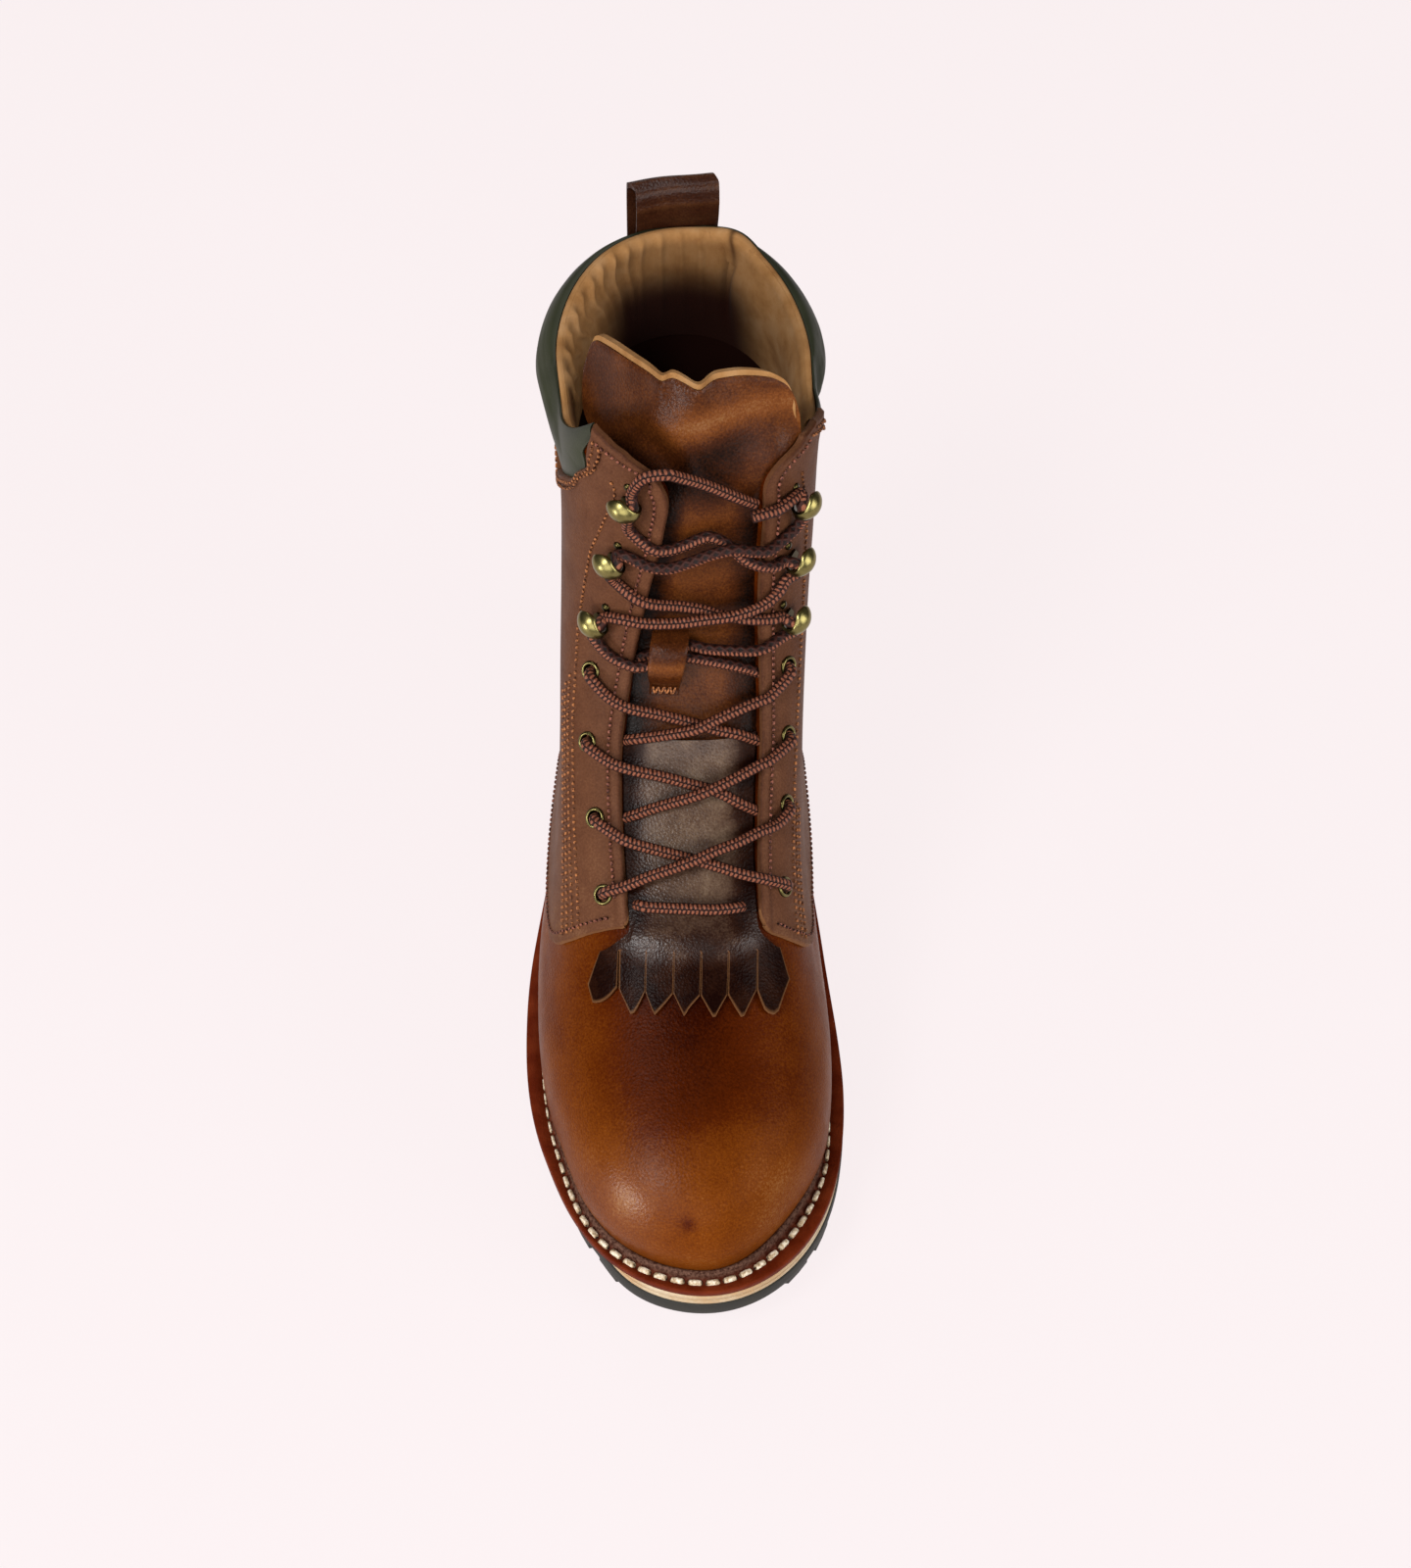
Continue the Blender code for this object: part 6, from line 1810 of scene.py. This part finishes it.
def braided_cotton():
    """Cotton lace, braided and waxed: ribs of crossing strands, dark brown with two rows of tan flecks."""
    material, tree, shader, at = new_material("cotton_braid_waxed")
    around = add(tree, "Attribute", {"attribute_name": "around"}).outputs["Fac"]
    along = add(tree, "Attribute", {"attribute_name": "along"}).outputs["Fac"]
    rib_rate = 2.0 * math.pi / BRAID_PITCH
    fleck_rate = 2.0 * math.pi / FLECK_PITCH
    ribs = []
    flecks = []
    for way in (1.0, -1.0):
        twist = add(tree, "Math", {"operation": "MULTIPLY", 1: way * BRAID_STRANDS}, {0: around})
        phase = add(tree, "Math", {"operation": "MULTIPLY_ADD", 1: rib_rate}, {0: along, 2: twist})
        ribs.append(add(tree, "Math", {"operation": "SINE"}, {0: phase}))
        apart = add(tree, "Math", {"operation": "ADD", 1: -way * FLECK_APART}, {0: around})
        facing = add(tree, "Math", {"operation": "COSINE"}, {0: apart})
        slant = add(tree, "Math", {"operation": "MULTIPLY", 1: way * FLECK_SLANT}, {0: around})
        step = add(tree, "Math", {"operation": "MULTIPLY_ADD", 1: fleck_rate}, {0: along, 2: slant})
        beat = add(tree, "Math", {"operation": "SINE"}, {0: step})
        both = add(tree, "Math", {"operation": "MULTIPLY_ADD", 1: FLECK_BEAT}, {0: beat, 2: facing})
        flecks.append(add(tree, "MapRange", {"From Min": 0.93, "From Max": 1.02}, {"Value": both}))
    weave = add(tree, "Math", {"operation": "MAXIMUM"}, {0: ribs[0], 1: ribs[1]})
    shade = add(tree, "MapRange", {"From Min": -0.6, "From Max": 1.0}, {"Value": weave})
    base = add(tree, "ValToRGB", {"stops": ((0.15, LACE_DARK), (0.9, LACE_BROWN))}, {"Fac": shade})
    fleck = add(tree, "Math", {"operation": "MAXIMUM"}, {0: flecks[0], 1: flecks[1]})
    colour = add(tree, "Mix", {"data_type": "RGBA", 7: LACE_FLECK}, {0: fleck, 6: base}).outputs[2]
    bump = add(tree, "Bump", {"Strength": 0.8, "Distance": 0.0004}, {"Height": shade})
    set_up(shader, {"Roughness": 0.62, "Specular IOR Level": 0.2}, {"Base Color": colour, "Normal": bump})
    return material


def into_eyelet(number, side, after):
    """The lace's way from a point beyond an eyelet over its rim and down through it."""
    centre, _, _, out = HOLDERS[number, side]
    lead = after - centre
    lead = unit(lead - out * np.dot(lead, out))
    return [centre + lead * reach + out * height for reach, height in EYELET_WAY]


def round_hook(number, side):
    """The lace's way under a hook, from below it to above it."""
    centre, away, up, out = HOLDERS[number, side]
    return [centre + away * across + up * rise + out * HOOK_WAY_HEIGHT for across, rise in HOOK_WAY]


def run_points(name):
    """A run of the lace from the table, as points."""
    return [skin(round_front(across), ring, height) for across, ring, height in LACE_RUNS[name]]


# Runs of the lace between eyelets and hooks: across from the front, ring, height over the upper
LACE_RUNS = {
    "bar": (
        (-0.168, 7.24, -1.4), (-0.160, 7.26, 1.4), (-0.145, 7.26, 3.0), (-0.11, 7.26, 3.7),
        (0.06, 7.25, 3.8), (0.10, 7.23, 3.6), (0.128, 7.21, 2.9), (0.143, 7.20, 1.4), (0.151, 7.18, -1.4),
    ),
    "cross_1_lateral": (
        (-0.214, 8.03, 4.9), (-0.18, 7.98, 4.7), (-0.105, 7.95, 3.6), (-0.017, 7.89, 2.5),
        (0.038, 7.83, 2.3), (0.085, 7.75, 2.7), (0.147, 7.58, 4.2), (0.198, 7.41, 5.1),
    ),
    "cross_1_medial": (
        (0.223, 7.95, 4.9), (0.19, 8.00, 5.0), (0.133, 7.97, 5.4), (0.084, 7.92, 5.9), (0.037, 7.83, 6.2),
        (-0.018, 7.74, 5.9), (-0.108, 7.62, 5.3), (-0.19, 7.45, 5.0),
    ),
    "cross_2_lateral": (
        (-0.213, 8.78, 4.9), (-0.168, 8.76, 4.6), (-0.063, 8.72, 3.0), (0.02, 8.65, 1.8),
        (0.087, 8.56, 1.6), (0.147, 8.39, 1.2), (0.195, 8.24, -0.6), (0.234, 8.00, -1.6),
    ),
    "cross_2_medial": (
        (0.209, 8.74, 4.9), (0.188, 8.74, 4.8), (0.133, 8.68, 4.9), (0.068, 8.57, 5.4), (0.021, 8.50, 4.6),
        (-0.039, 8.44, 3.0), (-0.104, 8.37, 1.6), (-0.157, 8.29, 0.4), (-0.208, 8.19, -1.6),
    ),
    "cross_3_lateral": (
        (-0.224, 9.51, 4.9), (-0.186, 9.45, 4.6), (-0.076, 9.40, 2.6), (0.014, 9.32, 1.0),
        (0.083, 9.23, 0.9), (0.138, 9.15, 1.0), (0.185, 9.03, -0.6), (0.228, 8.85, -1.6),
    ),
    "cross_3_medial": (
        (0.21, 9.49, 4.9), (0.188, 9.48, 4.7), (0.146, 9.45, 4.6), (0.08, 9.35, 4.6), (0.032, 9.25, 4.6),
        (-0.026, 9.20, 3.2), (-0.09, 9.16, 2.2), (-0.154, 9.11, 1.6), (-0.189, 9.07, -0.4),
        (-0.22, 8.98, -1.6),
    ),
    "keeper_lateral": (
        (0.228, 9.64, -1.6), (0.195, 9.80, -0.8), (0.131, 9.95, 0.2), (0.047, 10.07, 1.0),
        (-0.031, 10.13, 1.8), (-0.113, 10.07, 3.2), (-0.178, 10.00, 4.7), (-0.214, 10.02, 4.9),
        (-0.242, 10.08, 4.6),
    ),
    "keeper_medial": (
        (-0.236, 9.95, -1.6), (-0.215, 10.01, -1.0), (-0.178, 10.07, -0.8), (-0.088, 10.18, -0.6),
        (-0.013, 10.30, 0.6), (0.044, 10.26, 1.8), (0.123, 10.23, 3.4), (0.195, 10.18, 4.9),
        (0.24, 10.21, 4.5),
    ),
    "hook_5_lateral": (
        (-0.258, 10.62, 4.3), (-0.229, 10.72, 4.8), (-0.185, 10.73, 4.7), (-0.067, 10.77, 4.8),
        (0.03, 10.83, 5.4), (0.114, 10.86, 5.6), (0.196, 10.90, 5.2), (0.227, 10.99, 5.0),
        (0.246, 11.09, 4.4),
    ),
    "hook_5_medial": (
        (0.234, 10.55, 4.4), (0.217, 10.61, 4.8), (0.165, 10.71, 4.0), (0.085, 10.78, 1.7),
        (0.016, 10.87, 0.9), (-0.073, 10.95, 1.6), (-0.183, 11.03, 4.2), (-0.221, 11.11, 4.9),
        (-0.253, 11.23, 4.3),
    ),
    "hook_6_lateral": (
        (0.238, 11.40, 4.3), (0.221, 11.41, 4.8), (0.188, 11.50, 4.8), (0.137, 11.62, 3.4),
        (0.083, 11.82, 1.5), (0.026, 11.95, 0.8), (-0.013, 11.93, 0.8), (-0.093, 11.86, 1.8),
        (-0.171, 11.84, 3.6), (-0.216, 11.88, 4.8), (-0.254, 12.14, 4.4),
    ),
    "hook_6_medial": (
        (-0.264, 11.66, 4.3), (-0.245, 11.69, 4.8), (-0.217, 11.61, 4.8), (-0.154, 11.59, 4.6),
        (-0.06, 11.69, 4.8), (0.025, 11.81, 5.2), (0.094, 11.86, 5.4), (0.162, 11.76, 5.2),
        (0.209, 11.71, 5.0), (0.262, 11.80, 4.2),
    ),
    "end_lateral": (
        (-0.244, 13.05, 4.6), (-0.167, 13.48, 5.2), (-0.104, 13.55, 4.8), (-0.087, 13.42, 3.6),
        (-0.007, 13.09, 1.6), (0.094, 12.74, 0.8), (0.174, 12.46, 0.4),
    ),
    "end_medial": (
        (0.27, 12.51, 4.4), (0.239, 12.50, 5.0), (0.217, 12.44, 5.3), (0.191, 12.44, 5.4),
        (0.145, 12.42, 5.4),
    ),
}

braid = braided_cotton()


def lace_piece(name, runs, *nodes):
    """One piece of lace made of runs through points, standing for solids of the model."""
    tubes = [tube(even_line(run, LACE_STEP)) for run in runs]
    values = {title: np.concatenate([part[2][title] for part in tubes]) for title in ("around", "along")}
    piece = boot_mesh(name, braid, *join([part[:2] for part in tubes]), values, sharp=80.0)
    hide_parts(*nodes)


lace_piece("lace_bar_run", [run_points("bar")], "lace_bar")
for number in (1, 2, 3):
    runs = []
    for side, side_name in SIDE_NAMES.items():
        run = run_points(f"cross_{number}_{side_name}")
        foot = into_eyelet(1, -side, run[-1]) if number == 1 else []
        runs.append(into_eyelet(number + 1, side, run[0])[::-1] + run + foot)
    lace_piece(f"lace_cross_{number}", runs, f"lace_crossing_{number}")

strand = run_points("keeper_lateral") + round_hook(5, -1) + run_points("hook_5_lateral") + round_hook(6, 1)
strand += run_points("hook_6_lateral") + round_hook(7, -1)[:3]
lace_piece("lace_strand_lateral", [strand], "lace_crossing_4")
strand = run_points("keeper_medial") + round_hook(5, 1) + run_points("hook_5_medial") + round_hook(6, -1)
strand += run_points("hook_6_medial")
lace_piece("lace_strand_medial", [strand], "lace_crossing_5", "lace_crossing_6")


# Lace ends. The two free ends of the same lace, wound round the top hooks and left limp; the lateral one
# lies across the throat up to the medial quarter, and the medial one stops just past that quarter's edge.

ends = {"lateral": round_hook(7, -1)[2:], "medial": run_points("hook_6_medial")[-1:] + round_hook(7, 1)}
for name, points in ends.items():
    line = even_line(points + run_points("end_" + name), LACE_STEP)
    free_end = boot_mesh("lace_free_end_" + name, braid, *tube(line), sharp=80.0)
    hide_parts("lace_end_" + name)
    path = [(x * MM, (LENGTH / 2.0 - s) * MM, z * MM) for x, s, z in line.tolist()]


# Photograph. The boot stands on a pale seamless sheet under large soft lights, seen from in front and
# above, as a product photograph is taken; nothing here belongs to the boot.

PAPER_PALE = "#fbf1f2"
PAPER_SHADE = "#3a3839"
ROOM_LIGHT = "#f4f1ef"
ROOM_STRENGTH = 0.10
LIT_PLACE = (0.0, 0.0, 0.1)
CAMERA_AT = (-0.000625, -0.52382, 0.79988)
CAMERA_RIGHT = (0.99990346, 0.00477553, 0.0130483)
CAMERA_UP = (-0.01168444, 0.79717798, 0.6036313)
CAMERA_VIEW = (0.00751916, 0.60372549, -0.79715682)
CAMERA_LENS = 58.366
SENSOR_HEIGHT = 36.0
FLOOR_SIZE = 3.0

# Soft boxes: name, place, size across and up, power in watts
SOFT_BOXES = (
    ("key", (-0.7, -0.7, 1.35), 0.45, 0.45, 17.0),
    ("low", (-1.32, -1.0, 0.28), 0.4, 0.4, 14.0),
    ("front", (-0.1, -1.7, 0.9), 1.6, 1.0, 20.0),
    ("side", (1.4, -0.7, 0.8), 1.0, 1.0, 19.0),
    ("back", (-0.3, 1.4, 1.6), 0.8, 0.8, 8.0),
)


def seamless_paper():
    """Seamless paper, washed out with light: flat, nearly without shadow."""
    material, tree, shader, at = new_material("seamless_paper")
    lit = {"Emission Color": PAPER_PALE, "Emission Strength": 0.93}
    set_up(shader, {"Base Color": PAPER_SHADE, "Roughness": 0.9, **lit}, {})
    return material


half_floor = FLOOR_SIZE / 2.0
floor_mesh = bpy.data.meshes.new("floor")
corners = [(x * half_floor, y * half_floor, 0.0) for x, y in ((-1, -1), (1, -1), (1, 1), (-1, 1))]
floor_mesh.from_pydata(corners, [], [(0, 1, 2, 3)])
floor_mesh.materials.append(seamless_paper())
floor = bpy.data.objects.new("floor", floor_mesh)
bpy.context.scene.collection.objects.link(floor)

for name, at, across, up, power in SOFT_BOXES:
    light = bpy.data.lights.new("soft_box_" + name, "AREA")
    light.shape = "RECTANGLE"
    light.size = across
    light.size_y = up
    light.energy = power
    box = bpy.data.objects.new("soft_box_" + name, light)
    box.location = at
    aim = Vector(LIT_PLACE) - Vector(at)
    box.rotation_euler = aim.to_track_quat("-Z", "Y").to_euler()
    bpy.context.scene.collection.objects.link(box)

world = bpy.data.worlds.new("studio")
world.use_nodes = True
set_up(world.node_tree.nodes["Background"], {"Color": ROOM_LIGHT, "Strength": ROOM_STRENGTH}, {})
bpy.context.scene.world = world

camera = bpy.data.cameras.new("photo_camera")
camera.sensor_fit = "VERTICAL"
camera.sensor_height = SENSOR_HEIGHT
camera.lens = CAMERA_LENS
camera.clip_end = 20.0
eye = bpy.data.objects.new("photo_camera", camera)
turned = Matrix((CAMERA_RIGHT, CAMERA_UP, tuple(-part for part in CAMERA_VIEW))).transposed()
eye.matrix_world = Matrix.Translation(CAMERA_AT) @ turned.to_4x4()
bpy.context.scene.collection.objects.link(eye)
bpy.context.scene.camera = eye
bpy.context.scene.view_settings.view_transform = "Standard"
